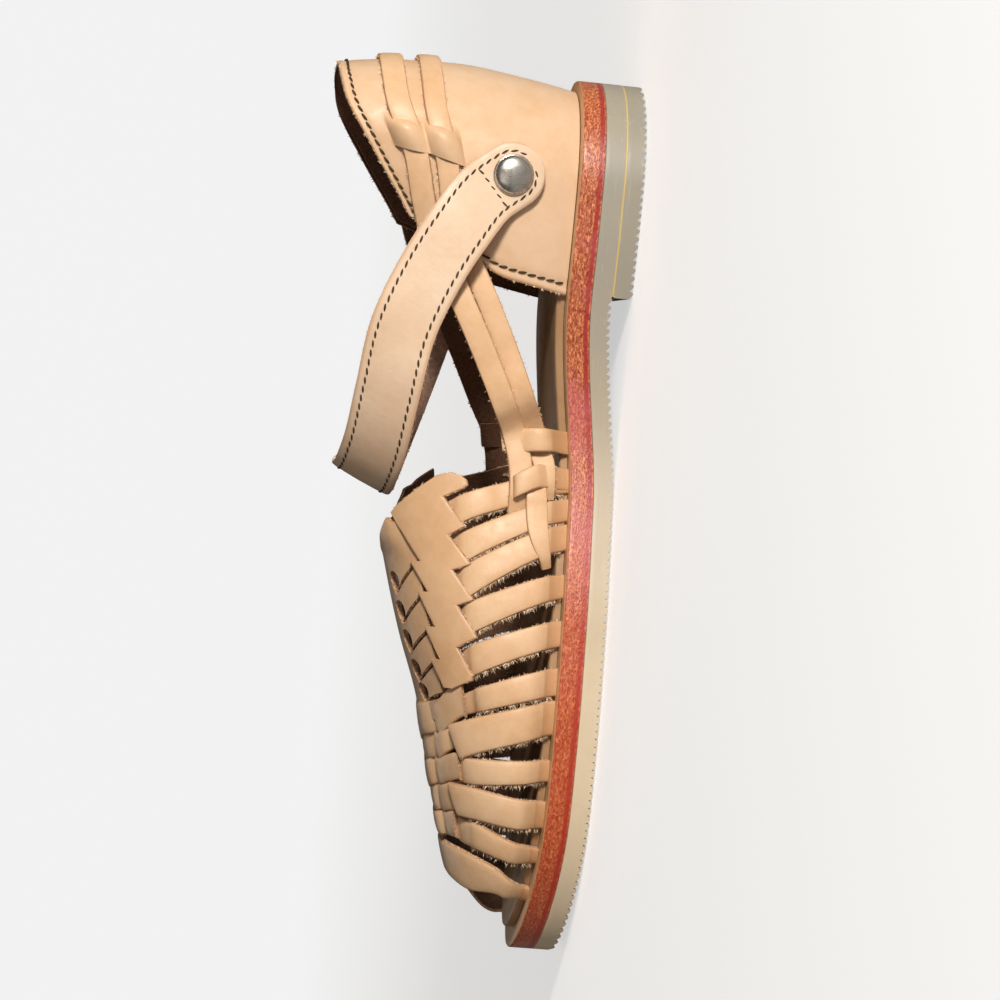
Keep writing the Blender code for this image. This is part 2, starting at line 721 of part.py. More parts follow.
def build_snap(name, side, finishes, collection):
    """A snap: domed cap outside the strap, post through strap and cup, stud on the inside."""
    point, normal = snap_place(side)
    cap_seat = 2 * GAP + ANKLE_THICKNESS
    stud_seat = -WALL - 3 * GAP
    radius = SNAP_DIAMETER / 2
    turns = np.linspace(0, math.pi / 2, 6)
    dome = [(radius * math.sin(turn), cap_seat + 0.0006 + SNAP_DOME * math.cos(turn)) for turn in turns]
    post = POST_DIAMETER / 2
    stud = STUD_DIAMETER / 2
    profile = dome + [(radius, cap_seat), (post, cap_seat), (post, stud_seat), (stud, stud_seat)]
    profile += [(stud, stud_seat - STUD_THICKNESS), (0.0, stud_seat - STUD_THICKNESS)]
    mesh = bpy.data.meshes.new(name)
    points = [(reach, 0.0, level) for reach, level in profile]
    edges = [(k, k + 1) for k in range(len(points) - 1)]
    mesh.from_pydata(points, edges, [])
    mesh.materials.append(finishes["snap_metal"])
    snap = bpy.data.objects.new(name, mesh)
    collection.objects.link(snap)
    turn = snap.modifiers.new("turn", "SCREW")
    turn.steps = SNAP_SIDES
    turn.render_steps = SNAP_SIDES
    turn.use_merge_vertices = True
    turn.merge_threshold = 0.0001
    turn.use_smooth_shade = True
    snap.rotation_euler = Vector(normal).to_track_quat("Z", "Y").to_euler()
    snap.location = Vector(point)
    return snap


def cut_hole(piece, side, cutters):
    """Cut the snap's post hole through a piece."""
    point, normal = snap_place(side)
    bpy.ops.mesh.primitive_cylinder_add(vertices=12, radius=POST_DIAMETER / 2 + GAP, depth=0.014)
    cutter = bpy.context.object
    cutter.name = f"hole_{piece.name}_{'inner' if side < 0 else 'outer'}"
    turn = Vector(normal).to_track_quat("Z", "Y").to_matrix().to_4x4()
    cutter.data.transform(Matrix.Translation(Vector(point)) @ turn)
    cutter.hide_render = True
    cutter.display_type = "WIRE"
    for home in cutter.users_collection:
        home.objects.unlink(cutter)
    cutters.objects.link(cutter)
    cut = piece.modifiers.new("post hole", "BOOLEAN")
    cut.operation = "DIFFERENCE"
    cut.solver = "EXACT"
    cut.object = cutter


def way_to_origin(pieces):
    """The move that stands the whole shoe's box centred on the origin."""
    bpy.context.view_layer.update()
    graph = bpy.context.evaluated_depsgraph_get()
    corners = []
    for piece in pieces:
        solid = piece.evaluated_get(graph)
        corners += [solid.matrix_world @ Vector(corner) for corner in solid.bound_box]
    corners = np.array(corners)
    low, high = corners.min(axis=0), corners.max(axis=0)
    return Vector((-(low[0] + high[0]) / 2, -(low[1] + high[1]) / 2, -low[2]))


def main():
    for old in list(bpy.data.objects):
        bpy.data.objects.remove(old)
    collection = bpy.data.collections.new("huarache_sandal")
    cutters = bpy.data.collections.new("cutters")
    bpy.context.scene.collection.children.link(collection)
    bpy.context.scene.collection.children.link(cutters)
    finishes = {
        "rubber": material("rubber", (0.52, 0.46, 0.34), 0.55),
        "midsole_leather": material("midsole_leather", (0.42, 0.06, 0.02), 0.35),
        "insole_leather": material("insole_leather", (0.62, 0.40, 0.24), 0.60),
        "upper_leather": material("upper_leather", (0.78, 0.50, 0.27), 0.50),
        "snap_metal": material("snap_metal", (0.75, 0.73, 0.70), 0.22, 1.0),
    }
    build_sole(finishes, collection)
    build_vamp(finishes, collection)
    counter = build_counter(finishes, collection)
    build_band("heel_strap_upper", "upper", UPPER_BAND_FRONT, UPPER_BAND_END, finishes, collection)
    build_band("heel_strap_lower", "lower", LOWER_BAND_FRONT, LOWER_BAND_END, finishes, collection)
    ankle = build_ankle_strap(finishes, collection)
    for side, name in ((-1, "snap_inner"), (1, "snap_outer")):
        build_snap(name, side, finishes, collection)
        cut_hole(counter, side, cutters)
        cut_hole(ankle, side, cutters)
    move = way_to_origin(collection.objects)
    for piece in [*collection.objects, *cutters.objects]:
        piece.location += move


main()
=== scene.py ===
"""Looks of the woven leather sandal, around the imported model.

Lengths are metres in the model's frame: toe along +Y, inner side of the right foot at -X, floor at
Z = 0. A place is the distance from the back of the sole as a share of its length. A girth runs over
the woven front from -1 at the inner foot over 0 at the crest to 1 at the outer foot.
"""

import math

import bmesh
import bpy
import numpy as np
from mathutils import Matrix, Vector


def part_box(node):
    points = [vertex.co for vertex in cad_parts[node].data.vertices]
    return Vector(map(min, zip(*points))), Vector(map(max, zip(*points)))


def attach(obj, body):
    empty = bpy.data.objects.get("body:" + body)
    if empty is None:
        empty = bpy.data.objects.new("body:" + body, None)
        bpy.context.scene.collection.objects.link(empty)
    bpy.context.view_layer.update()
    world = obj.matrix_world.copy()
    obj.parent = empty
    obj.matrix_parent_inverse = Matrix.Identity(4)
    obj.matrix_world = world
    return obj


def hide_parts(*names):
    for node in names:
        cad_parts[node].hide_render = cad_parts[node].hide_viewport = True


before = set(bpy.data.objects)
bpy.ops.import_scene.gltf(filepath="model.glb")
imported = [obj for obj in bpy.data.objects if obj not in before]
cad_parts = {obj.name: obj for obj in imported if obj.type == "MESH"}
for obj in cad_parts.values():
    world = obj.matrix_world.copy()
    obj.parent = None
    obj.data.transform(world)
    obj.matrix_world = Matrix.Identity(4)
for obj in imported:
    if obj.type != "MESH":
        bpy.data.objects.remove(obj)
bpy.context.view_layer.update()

# Sizes of the last and the sole, as in the solids
SOLE_LENGTH = 0.262
BALL_WIDTH = 0.090
HEEL_WIDTH = 0.062
OUTSOLE = 0.0060
MIDSOLE = 0.0068
INSOLE = 0.0022
HEEL_LIFT = 0.0060
LIFT_LENGTH = 0.065
TOE_SPRING = 0.0035
TOOTH_PITCH = 0.00226
TOOTH_DEPTH = 0.0011
LEDGE = 0.0035
SOLE_END = 0.0003
VAMP_HEIGHT = 0.052
COUNTER_LENGTH = 0.0656
COUNTER_HEIGHT = 0.072
GAP = 0.0003
FOOTBED_SPARE = 0.0027
HEEL_ROUND = 0.124
TOE_ROUND = 0.20
CUP_ROUND_POWER = 1.8
ARCH_WIDTH_POWER = 0.78
ARCH_HEIGHT_POWER = 0.92
ARCH_SWELL = 0.18
SIDE_SHARES = np.array([0.0, 0.12, 0.24, 0.4, 0.6, 0.8])
TOP_SHARES = np.linspace(-0.75, 0.75, 7)

SOLE = (
    ("at", "width", "shift"),
    (0.00, 1.00, 0.000),
    (0.18, 1.00, 0.000),
    (0.42, 0.79, 0.040),
    (0.62, 0.96, 0.033),
    (0.71, 1.00, 0.017),
    (0.86, 0.90, -0.022),
    (1.00, 0.68, -0.090),
)
CREST = (
    ("at", "height", "shift"),
    (0.38, 1.14, 0.02),
    (0.46, 1.06, 0.03),
    (0.55, 0.95, 0.05),
    (0.65, 0.80, 0.06),
    (0.72, 0.67, 0.06),
    (0.79, 0.58, 0.06),
    (0.85, 0.50, 0.06),
    (0.92, 0.38, 0.08),
    (1.00, 0.24, 0.09),
)
CUP = (
    ("rise", "front", "half", "back"),
    (0.00, 1.000, 0.444, 0.056),
    (0.12, 0.985, 0.472, 0.030),
    (0.25, 0.968, 0.482, 0.008),
    (0.48, 0.920, 0.480, -0.022),
    (0.62, 0.835, 0.468, -0.020),
    (0.80, 0.765, 0.442, -0.008),
    (1.00, 0.716, 0.408, 0.022),
)
TOP_LINE = (
    ("round", "height"),
    (0.00, 1.000),
    (0.30, 0.992),
    (0.50, 0.960),
    (0.75, 0.840),
    (1.00, 0.667),
)

# Straps of the woven front on the inner side: edges at the slot and at the sole, girth of the end
STRAPS = (
    ("number", "slot_back", "slot_front", "sole_back", "sole_front", "end"),
    (1, 0.490, 0.521, 0.448, 0.475, 0.49),
    (2, 0.532, 0.566, 0.482, 0.508, 0.49),
    (3, 0.569, 0.605, 0.511, 0.541, 0.49),
    (4, 0.607, 0.642, 0.565, 0.593, 0.50),
    (5, 0.652, 0.685, 0.616, 0.646, 0.50),
    (6, 0.698, 0.723, 0.668, 0.699, 0.49),
    (7, 0.728, 0.766, 0.704, 0.743, 0.415),
    (8, 0.773, 0.801, 0.769, 0.794, 0.400),
    (9, 0.805, 0.840, 0.815, 0.847, 0.350),
    (10, 0.844, 0.873, 0.869, 0.888, 0.300),
)
SOLE_GIRTH = 0.96
SLOT_GIRTH = 0.585
LAST_SLOT_STRAP = 6
LAST_SPREAD_STRAP = 8
OVER_STRAPS = (7, 9)
OVER_SLANT = 0.07
# The outer side's straps are wider by this share of the length at each edge, the bands by a multiple
FAR_SPARE = 0.0036
BAND_SHARE = 1.1
WIDE_SHARE = 2.3
WIDE_BANDS = (8, 9)
# Feet of the straps: pushed out below one height over the seat, drawn in under it below another
FOOT_OUT = 0.0011
FOOT_IN = 0.0022
FOOT_DOWN = 0.0007
FOOT_HIGH = 0.0075
FOOT_CLEAR = 0.022
# Lines across a strap, close together at its cut edges, and how much the edge is rounded there
ACROSS = np.array([-1.0, -0.95, -0.84, -0.5, 0.0, 0.5, 0.84, 0.95, 1.0])
ROUNDED = np.array([0.30, 0.08, 0.0, 0.0, 0.0, 0.0, 0.0, 0.08, 0.30])
STRAP_CROWN = 0.0003
# Girth and lift of the straps' undersides over the last, below their upper ends
SLOT_LIFTS = ((0.545, -0.0017), (0.585, -0.0010), (0.625, 0.0006))
FIRST_STRAP_LIFTS = (
    (0.68, 0.0012), (0.735, 0.0008), (0.79, -0.0003), (0.86, -0.0006), (0.94, -0.0003), (1.0, -0.0003))
SLOT_STRAP_LIFTS = (
    (0.68, 0.0013), (0.76, 0.0014), (0.84, 0.0011), (0.92, 0.0005), (0.97, 0.0001), (1.0, 0.0))
OVER_STRAP_LIFTS = (
    (0.54, 0.0016), (0.64, 0.0015), (0.74, 0.0014), (0.84, 0.0010), (0.92, 0.0004), (1.0, 0.0))
UNDER_STRAP_LIFTS = (
    (0.50, 0.0006), (0.56, 0.0012), (0.66, 0.0013), (0.78, 0.0012), (0.90, 0.0004), (1.0, 0.0))
CREST_BAND_LIFTS = (
    (0.42, 0.0008), (0.585, 0.0011), (0.70, 0.0011), (0.82, 0.0009), (0.92, 0.0004), (1.0, 0.0))

# Bands over the crest from the outer side: edges at crest and joint, then the short inner piece's end
CREST_BANDS = (
    ("number", "back", "front", "end_back", "end_front", "joint", "inner_back", "inner_front", "inner_end"),
    (6, 0.734, 0.771, 0.716, 0.753, 0.275, 0.690, 0.729, 0.535),
    (7, 0.771, 0.795, 0.753, 0.782, 0.230, 0.738, 0.767, 0.425),
    (8, 0.795, 0.825, 0.782, 0.812, 0.190, 0.770, 0.800, 0.458),
    (9, 0.825, 0.850, 0.812, 0.842, 0.175, 0.803, 0.835, 0.430),
    (10, 0.850, 0.874, 0.842, 0.869, 0.195, 0.838, 0.868, 0.355),
)

# Side edge of the slotted plate, with one slanting rim for each slot
PLATE_SIDE = (
    ("at", "girth"),
    (0.4611, 0.605),
    (0.4635, 0.638),
    (0.4680, 0.660),
    (0.4740, 0.664),
    (0.4790, 0.642),
    (0.4895, 0.562),
    (0.5150, 0.626),
    (0.5205, 0.645),
    (0.5225, 0.630),
    (0.5315, 0.570),
    (0.5562, 0.643),
    (0.5610, 0.656),
    (0.5630, 0.640),
    (0.5690, 0.574),
    (0.5945, 0.643),
    (0.5990, 0.656),
    (0.6010, 0.640),
    (0.6065, 0.580),
    (0.6329, 0.647),
    (0.6400, 0.660),
    (0.6435, 0.630),
    (0.6525, 0.556),
    (0.6812, 0.618),
    (0.6870, 0.610),
    (0.6915, 0.557),
    (0.6970, 0.500),
)

# Stepped inner edge of the upper plate, over the tabs
PLATE_STEPS = (
    ("at", "girth"),
    (0.4611, 0.600),
    (0.4655, 0.540),
    (0.4895, 0.394),
    (0.5108, 0.255),
    (0.5321, 0.320),
    (0.5619, 0.408),
    (0.5629, 0.345),
    (0.5945, 0.430),
    (0.5955, 0.368),
    (0.6320, 0.442),
    (0.6330, 0.377),
    (0.6670, 0.440),
    (0.6680, 0.374),
    (0.6970, 0.428),
)
THROAT = (
    ("girth", "at"),
    (-0.60, 0.461),
    (-0.54, 0.4655),
    (-0.39, 0.4895),
    (-0.24, 0.511),
    (-0.05, 0.543),
    (0.06, 0.555),
    (0.20, 0.552),
    (0.30, 0.535),
    (0.39, 0.505),
    (0.50, 0.478),
    (0.60, 0.461),
)

# Lower plate: front edge, reach on the inner side, and its raised part behind the tabs' joint
PLATE_FRONT = 0.738
INNER_REACH = 0.62
TAB_JOINT = (0.533, 0.566)
TAB_RISE = 0.0014

# Cuts between the tabs: leaf opening at the left, slanting slit to the right
LEAF_HALF_WIDTH = 0.062
TAB_CUTS = (
    ("leaf_back", "leaf_front", "leaf_girth", "slit_at", "slit_girth"),
    (0.577, 0.604, 0.140, 0.5615, 0.405),
    (0.609, 0.637, 0.143, 0.5945, 0.430),
    (0.641, 0.669, 0.150, 0.6318, 0.442),
    (0.673, 0.700, 0.163, 0.6668, 0.438),
    (0.699, 0.722, 0.185, 0.7053, 0.430),
)

# Toe strap, over the crest from the inner sole to the outer sole
TOE_STRAP = (
    ("girth", "back", "front", "lift"),
    (-1.00, 0.921, 0.938, -0.0002),
    (-0.92, 0.914, 0.929, 0.0006),
    (-0.80, 0.900, 0.9235, 0.0011),
    (-0.69, 0.8895, 0.9195, 0.0012),
    (-0.45, 0.881, 0.9225, 0.0012),
    (-0.20, 0.878, 0.918, 0.0010),
    (0.00, 0.878, 0.9155, 0.0009),
    (0.20, 0.879, 0.918, 0.0010),
    (0.45, 0.881, 0.9235, 0.0011),
    (0.56, 0.884, 0.936, 0.0010),
    (0.70, 0.889, 0.954, 0.0008),
    (0.85, 0.896, 0.967, 0.0005),
    (1.00, 0.906, 0.973, -0.0002),
)

# Ankle strap between the snaps, the snaps and the strap's tail on the outer side
ANKLE = (
    ("at", "height", "spread", "lean"),
    (0.190, 0.670, -0.540, 0.04),
    (0.246, 0.815, -0.540, 0.12),
    (0.300, 0.930, -0.530, 0.22),
    (0.374, 1.030, -0.470, 0.34),
    (0.435, 1.100, -0.330, 0.42),
    (0.468, 1.140, -0.150, 0.46),
    (0.474, 1.140, 0.040, 0.46),
    (0.460, 1.080, 0.230, 0.42),
    (0.420, 0.980, 0.390, 0.34),
    (0.360, 0.840, 0.490, 0.26),
    (0.290, 0.690, 0.545, 0.16),
    (0.225, 0.560, 0.570, 0.08),
    (0.168, 0.450, 0.525, 0.02),
)
ANKLE_WIDTH = 0.0195
ANKLE_THICKNESS = 0.0024
ANKLE_START = (0.0, 0.62, 0.78)
ANKLE_FINISH = (0.0, 0.90, 0.43)
SNAP_AT = 0.124
SNAP_HEIGHT = 0.377
SNAP_DIAMETER = 0.0120
SNAP_SIDES = 64
# Below the first lean the strap faces sideways; from there it turns towards the front
ANKLE_SIDE_LEAN = 0.2
ANKLE_TOP_LEAN = 0.46
ANKLE_FRONT_TURN = 0.55
TAIL = ((0.50, 0.270), (0.40, 0.230))
BAND_SPARE = 0.0022

# Seams
SEAM_INSET = 0.0026
SEAM_GROOVE = 0.0025
CROSS_SEAM_AT = 0.0178
STITCH_PITCH = 0.0028
STITCH_LENGTH = 0.0027
STITCH_TURN = 0.22
THREAD_RADIUS = 0.00036
THREAD_SIDES = 6

# Heel cup and the straps round the heel
CUP_WALL = 0.0013
BAND_RISES = (0.786, 0.628)
BANDS = (
    ("round", "upper", "lower"),
    (0.00, 0.786, 0.628),
    (0.50, 0.786, 0.628),
    (0.77, 0.788, 0.635),
    (0.90, 0.835, 0.664),
    (1.00, 0.870, 0.645),
)
BAND_WIDTHS = {"upper": 0.0070, "lower": 0.0065}
BAND_THICKNESS = 0.0015
BRIDGE_AT = 0.0225
BRIDGE_LENGTH = 0.0085
BRIDGE_HALF_WIDTH = 0.0058
BRIDGE_LIFT = 0.0038
# Place, height and spread of each strap where it runs free, and how far its face leans up there
FREE_STRAP_LEAN = 0.08
HEEL_STRAP_FRONT = {
    "upper": ((0.250, 0.650, 0.520), (0.330, 0.465, 0.540), (0.380, 0.375, 0.535)),
    "lower": ((0.255, 0.480, 0.490), (0.315, 0.350, 0.500), (0.370, 0.262, 0.515)),
}
# Place, girth and lift of each strap over the last where it runs through the side weave
HEEL_STRAP_WEAVE = {
    "upper": ((0.410, 0.842, 0.0030), (0.435, 0.852, 0.0030), (0.460, 0.855, 0.0030), (0.478, 0.852, 0.0028),
              (0.492, 0.850, 0.0010), (0.508, 0.850, -0.0010), (0.530, 0.850, -0.0012)),
    "lower": ((0.405, 0.908, 0.0014), (0.425, 0.920, 0.0010), (0.445, 0.930, 0.0030), (0.465, 0.930, 0.0028),
              (0.480, 0.930, 0.0004)),
}
# Lengthwise strip of the side weave: place, girth, lift and width
SIDE_STRIP = (
    ("at", "girth", "lift", "width"),
    (0.462, 0.905, 0.0002, 0.0054),
    (0.474, 0.902, 0.0036, 0.0060),
    (0.495, 0.903, 0.0038, 0.0064),
    (0.516, 0.908, 0.0038, 0.0062),
    (0.536, 0.922, 0.0034, 0.0050),
    (0.548, 0.936, 0.0024, 0.0036),
    (0.556, 0.945, 0.0004, 0.0030),
)
# Short pieces that pass over the lengthwise strips: girth, back edge, front edge and lift
SIDE_TILES = (
    ((0.80, 0.405, 0.432, 0.0000), (0.86, 0.404, 0.432, 0.0012), (0.895, 0.403, 0.431, 0.0026),
     (0.93, 0.402, 0.430, 0.0030), (0.965, 0.402, 0.428, 0.0018), (1.0, 0.402, 0.428, -0.0001)),
    ((0.825, 0.461, 0.486, 0.0020), (0.835, 0.459, 0.485, 0.0036), (0.87, 0.452, 0.479, 0.0040),
     (0.905, 0.446, 0.473, 0.0034), (0.94, 0.444, 0.470, 0.0010), (1.0, 0.443, 0.468, -0.0001)),
)

# Camera: angles in degrees, then metres and shares of the picture
VIEW_AZIMUTH = -88.0
VIEW_HEIGHT = 6.5
VIEW_ROLL = -84.9
VIEW_DISTANCE = 1.0
VIEW_AIM = (0.0, 0.0, 0.03)
FOCAL_SHARE = 3.297
VIEW_SHIFT = (0.0, 0.0035)


# Shapes of the last
def column(table, name):
    """The numbers of one named column of a table."""
    place = table[0].index(name)
    return np.array([row[place] for row in table[1:]], dtype=float)


def row_of(table, number):
    """The row of a table whose first column holds a number."""
    return next(row for row in table[1:] if row[0] == number)


def unit(ways):
    """Directions of length one."""
    return ways / np.maximum(np.linalg.norm(ways, axis=-1, keepdims=True), 1e-12)


def smooth(x, y, at):
    """A smooth curve through y over x, read at given places: cubic pieces that share their slopes."""
    slope = np.gradient(y, x, axis=0)
    at = np.clip(np.asarray(at, dtype=float), x[0], x[-1])
    k = np.clip(np.searchsorted(x, at, side="right") - 1, 0, len(x) - 2)
    step = x[k + 1] - x[k]
    t = (at - x[k]) / step
    if y.ndim == 2:
        step, t = step[:, None], t[:, None]
    rise = y[k + 1] - y[k]
    start, end = step * slope[k], step * slope[k + 1]
    return y[k] + start * t + (3 * rise - 2 * start - end) * t**2 + (start + end - 2 * rise) * t**3


def along(table, name, at):
    """A smooth curve through one column, read against the table's first column."""
    return smooth(column(table, table[0][0]), column(table, name), at)


def straight(table, name, at):
    """Straight lines through one column, read against the table's first column."""
    return np.interp(at, column(table, table[0][0]), column(table, name))


def ease(low, high, value):
    """0 below low, 1 above high and a smooth step between."""
    t = np.clip((np.asarray(value, dtype=float) - low) / (high - low), 0.0, 1.0)
    return t * t * (3 - 2 * t)


def outline(place, inset):
    """Inner and outer x of the sole's outline, moved inwards by an inset on every side."""
    at = np.clip((place - inset) / (SOLE_LENGTH - 2 * inset), 0.0, 1.0)
    heel = 1 - np.clip(1 - at / HEEL_ROUND, 0.0, 1.0) ** 2
    toe = 1 - np.clip((at - 1 + TOE_ROUND) / TOE_ROUND, 0.0, 1.0) ** 2.2
    whole = HEEL_WIDTH + (BALL_WIDTH - HEEL_WIDTH) * ease(0.20, 0.62, at)
    half = whole / 2 * along(SOLE, "width", at) * np.sqrt(heel * toe) * (1 - 2 * inset / whole)
    middle = along(SOLE, "shift", at) * BALL_WIDTH
    return middle - half, middle + half


def floor_height(place):
    """Height of the outsole's underside: over the lift, down the arch, flat, toe spring."""
    arch_end = LIFT_LENGTH + 0.24 * SOLE_LENGTH
    drop = ease(LIFT_LENGTH, arch_end, place)
    spring = np.clip((place / SOLE_LENGTH - 0.82) / 0.18, 0.0, 1.0)
    return HEEL_LIFT * (1 - drop) + TOE_SPRING * spring**2


def seat_height(place):
    """Height of the midsole's top, on which the upper and the insole stand."""
    return floor_height(place) + OUTSOLE + GAP + MIDSOLE


# The design's origin lies at the back of the sole: the move takes it to the model's frame
sample = np.linspace(SOLE_END, SOLE_LENGTH - SOLE_END, 400)
midsole_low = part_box("midsole")[0]
MOVE = np.array([midsole_low.x - outline(sample, 0.0)[0].min(), midsole_low.y - SOLE_END, 0.0])


def vamp_point(at, girth):
    """Point of the woven front: an arch x = reach cos^0.78 + swell, z = height sin^0.92."""
    at, girth = np.broadcast_arrays(np.asarray(at, float), np.asarray(girth, float))
    place = at * SOLE_LENGTH
    inner, outer = outline(place, LEDGE)
    crest = (inner + outer) / 2 - along(CREST, "shift", at) * BALL_WIDTH
    height = along(CREST, "height", at) * VAMP_HEIGHT
    angle = np.clip(1 - np.abs(girth), 0, 1) * math.pi / 2
    reach = np.where(girth < 0, inner - crest, outer - crest)
    swell = ARCH_SWELL * np.sin(angle) * np.cos(angle) ** 2
    x = crest + reach * (np.cos(angle) ** ARCH_WIDTH_POWER + swell)
    z = seat_height(place) + 2 * GAP + height * np.sin(angle) ** ARCH_HEIGHT_POWER
    return np.stack([x, place, z], axis=-1) + MOVE


def cup_point(way_round, rise):
    """Point of the heel cup: the sole's outline, narrowed, shortened and moved with the rise."""
    way_round, rise = np.broadcast_arrays(np.asarray(way_round, float), np.asarray(rise, float))
    span = COUNTER_LENGTH - LEDGE
    behind = span * np.abs(way_round) ** CUP_ROUND_POWER
    inner, outer = outline(LEDGE + behind, LEDGE)
    spread = along(CUP, "half", rise) / column(CUP, "half")[0]
    back = along(CUP, "back", rise) * HEEL_WIDTH
    front = along(CUP, "front", rise) * COUNTER_LENGTH
    place = back + behind / span * (front - back)
    x = np.where(way_round < 0, inner, outer) * spread
    top = along(TOP_LINE, "height", np.abs(way_round)) * COUNTER_HEIGHT
    return np.stack([x, place, seat_height(place) + GAP + rise * top], axis=-1) + MOVE


def round_at_place(place, rise):
    """Way round the cup, on one side, at a distance from the back of the sole."""
    back = along(CUP, "back", rise) * HEEL_WIDTH
    front = along(CUP, "front", rise) * COUNTER_LENGTH
    return (np.clip((place - back) / (front - back), 0, None)) ** (1 / CUP_ROUND_POWER)


def surface_normal(surface, first, second, step=0.0008):
    """Unit normals of a surface of two values, turned away from the foot."""
    first, second = np.broadcast_arrays(np.asarray(first, float), np.asarray(second, float))
    run = surface(first + step, second) - surface(first - step, second)
    rise = surface(first, second + step) - surface(first, second - step)
    return unit(np.cross(run, rise))


def vamp_normal(at, girth):
    """Outward unit normals of the woven front."""
    girth = np.clip(girth, -0.995, 0.995)
    return -surface_normal(vamp_point, at, girth)


def cup_normal(way_round, rise):
    """Outward unit normals of the heel cup."""
    return surface_normal(cup_point, way_round, rise)


# Lines and rows
def distances(line):
    """The way run along a line of points, from 0 at its first point."""
    return np.concatenate([[0], np.cumsum(np.linalg.norm(np.diff(line[:, :3], axis=0), axis=1))])


def read(rows, at, run):
    """Rows of numbers read at given distances, on straight lines."""
    return np.stack([np.interp(at, run, values) for values in rows.T], axis=-1)


def smooth_rows(rows, count):
    """Rows of numbers read at evenly spaced stations along a smooth curve through them."""
    rows = np.asarray(rows, dtype=float)
    return smooth(np.arange(len(rows), dtype=float), rows, np.linspace(0, len(rows) - 1, count))


def through_points(controls, longest):
    """A smooth curve through control rows, with stations no further apart than the longest."""
    controls = np.asarray(controls, dtype=float)
    run = distances(controls)
    return smooth(run, controls, np.linspace(0, run[-1], max(int(run[-1] / longest), 8)))


def strap_axes(rows):
    """Directions across and out of a strap whose rows hold points and face directions."""
    tangent = unit(np.gradient(rows[:, :3], axis=0))
    across = unit(np.cross(rows[:, 3:6], tangent))
    return across, np.cross(tangent, across)


# Meshes
def grid_faces(rows, columns, start=0):
    """Corner numbers of the quads of a grid."""
    index = start + np.arange(rows * columns).reshape(rows, columns)
    return np.stack([index[:-1, :-1], index[1:, :-1], index[1:, 1:], index[:-1, 1:]], -1).reshape(-1, 4)


def shell(outer, inner, edge):
    """A closed sheet between two grids: face, back and the cut edge all round.

    Gives points, quads, the finish of each quad (0 face, 1 back, 2 cut edge), and for each point
    its way along, its way across and its nearness to the cut edge, which on the cross straps also marks
    their feet for painted shade.
    """
    rows, columns = outer.shape[:2]
    count = rows * columns
    points = np.concatenate([outer.reshape(-1, 3), inner.reshape(-1, 3)])
    face = grid_faces(rows, columns)
    back = grid_faces(rows, columns, count)[:, ::-1]
    index = np.arange(count).reshape(rows, columns)
    border = np.concatenate([index[0], index[1:, -1], index[-1, -2::-1], index[-2:0:-1, 0]])
    following = np.roll(border, -1)
    rim = np.stack([border, following, following + count, border + count], -1)
    quads = np.concatenate([face, back, rim])
    finish = np.repeat([0, 1, 2], [len(face), len(back), len(rim)])
    middle = outer[:, columns // 2]
    across = np.linalg.norm(outer - middle[:, None], axis=-1) * np.sign(np.arange(columns) - columns // 2)
    lengths = np.repeat(distances(middle)[:, None], columns, axis=1)
    extra = np.stack([lengths, across, edge], axis=-1).reshape(-1, 3)
    return points, quads, finish, np.concatenate([extra, extra])


def joined(parts):
    """Groups of arrays put end to end, with the second one's corner numbers moved on."""
    starts = np.cumsum([0] + [len(part[0]) for part in parts])
    moved = [(part[0], part[1] + start, *part[2:]) for part, start in zip(parts, starts)]
    return [np.concatenate(group) for group in zip(*moved)]


def new_mesh(name, points, faces, materials):
    """A mesh from points, faces and materials."""
    mesh = bpy.data.meshes.new(name)
    corners = faces.tolist() if isinstance(faces, np.ndarray) else faces
    mesh.from_pydata(points.tolist(), [], corners)
    for material in materials:
        mesh.materials.append(material)
    return mesh


def turn_outwards(mesh):
    """Turn the faces of a closed mesh outwards."""
    shape = bmesh.new()
    shape.from_mesh(mesh)
    bmesh.ops.recalc_face_normals(shape, faces=shape.faces)
    shape.to_mesh(mesh)
    shape.free()


def in_scene(name, data):
    """A new object of the scene with its data."""
    piece = bpy.data.objects.new(name, data)
    bpy.context.scene.collection.objects.link(piece)
    return piece


def add_object(name, points, faces, materials, finish=None, extra=None, sharp=40, turn=False):
    """A mesh object on the root body, from arrays of points and faces."""
    mesh = new_mesh(name, points, faces, materials)
    if finish is not None:
        mesh.polygons.foreach_set("material_index", np.asarray(finish, dtype=np.int32))
    if extra is not None:
        strap = mesh.attributes.new("strap", "FLOAT_VECTOR", "POINT")
        strap.data.foreach_set("vector", np.asarray(extra, dtype=np.float32).ravel())
    mesh.validate()
    if turn:
        turn_outwards(mesh)
    mesh.shade_smooth()
    mesh.set_sharp_from_angle(angle=math.radians(sharp))
    piece = in_scene(name, mesh)
    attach(piece, "root")
    return piece


def add_sheets(name, shells, materials, node):
    """One object from several closed sheets, with its faces turned outwards."""
    points, quads, finish, extra = joined(shells)
    piece = add_object(name, points, quads, materials, finish, extra, turn=True)
    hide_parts(node)
    return piece


def foot_lift(place, girth, lift):
    """Lift of a strap's underside with its foot: bulged out over the seat, then drawn in under it."""
    above = vamp_point(place, girth)[..., 2] - seat_height(place * SOLE_LENGTH) - 2 * GAP
    tucked = ease(0.0, FOOT_HIGH, above)
    bulge = tucked * (1 - ease(FOOT_HIGH, FOOT_CLEAR, above))
    return lift + FOOT_OUT * bulge - FOOT_IN * (1 - tucked)


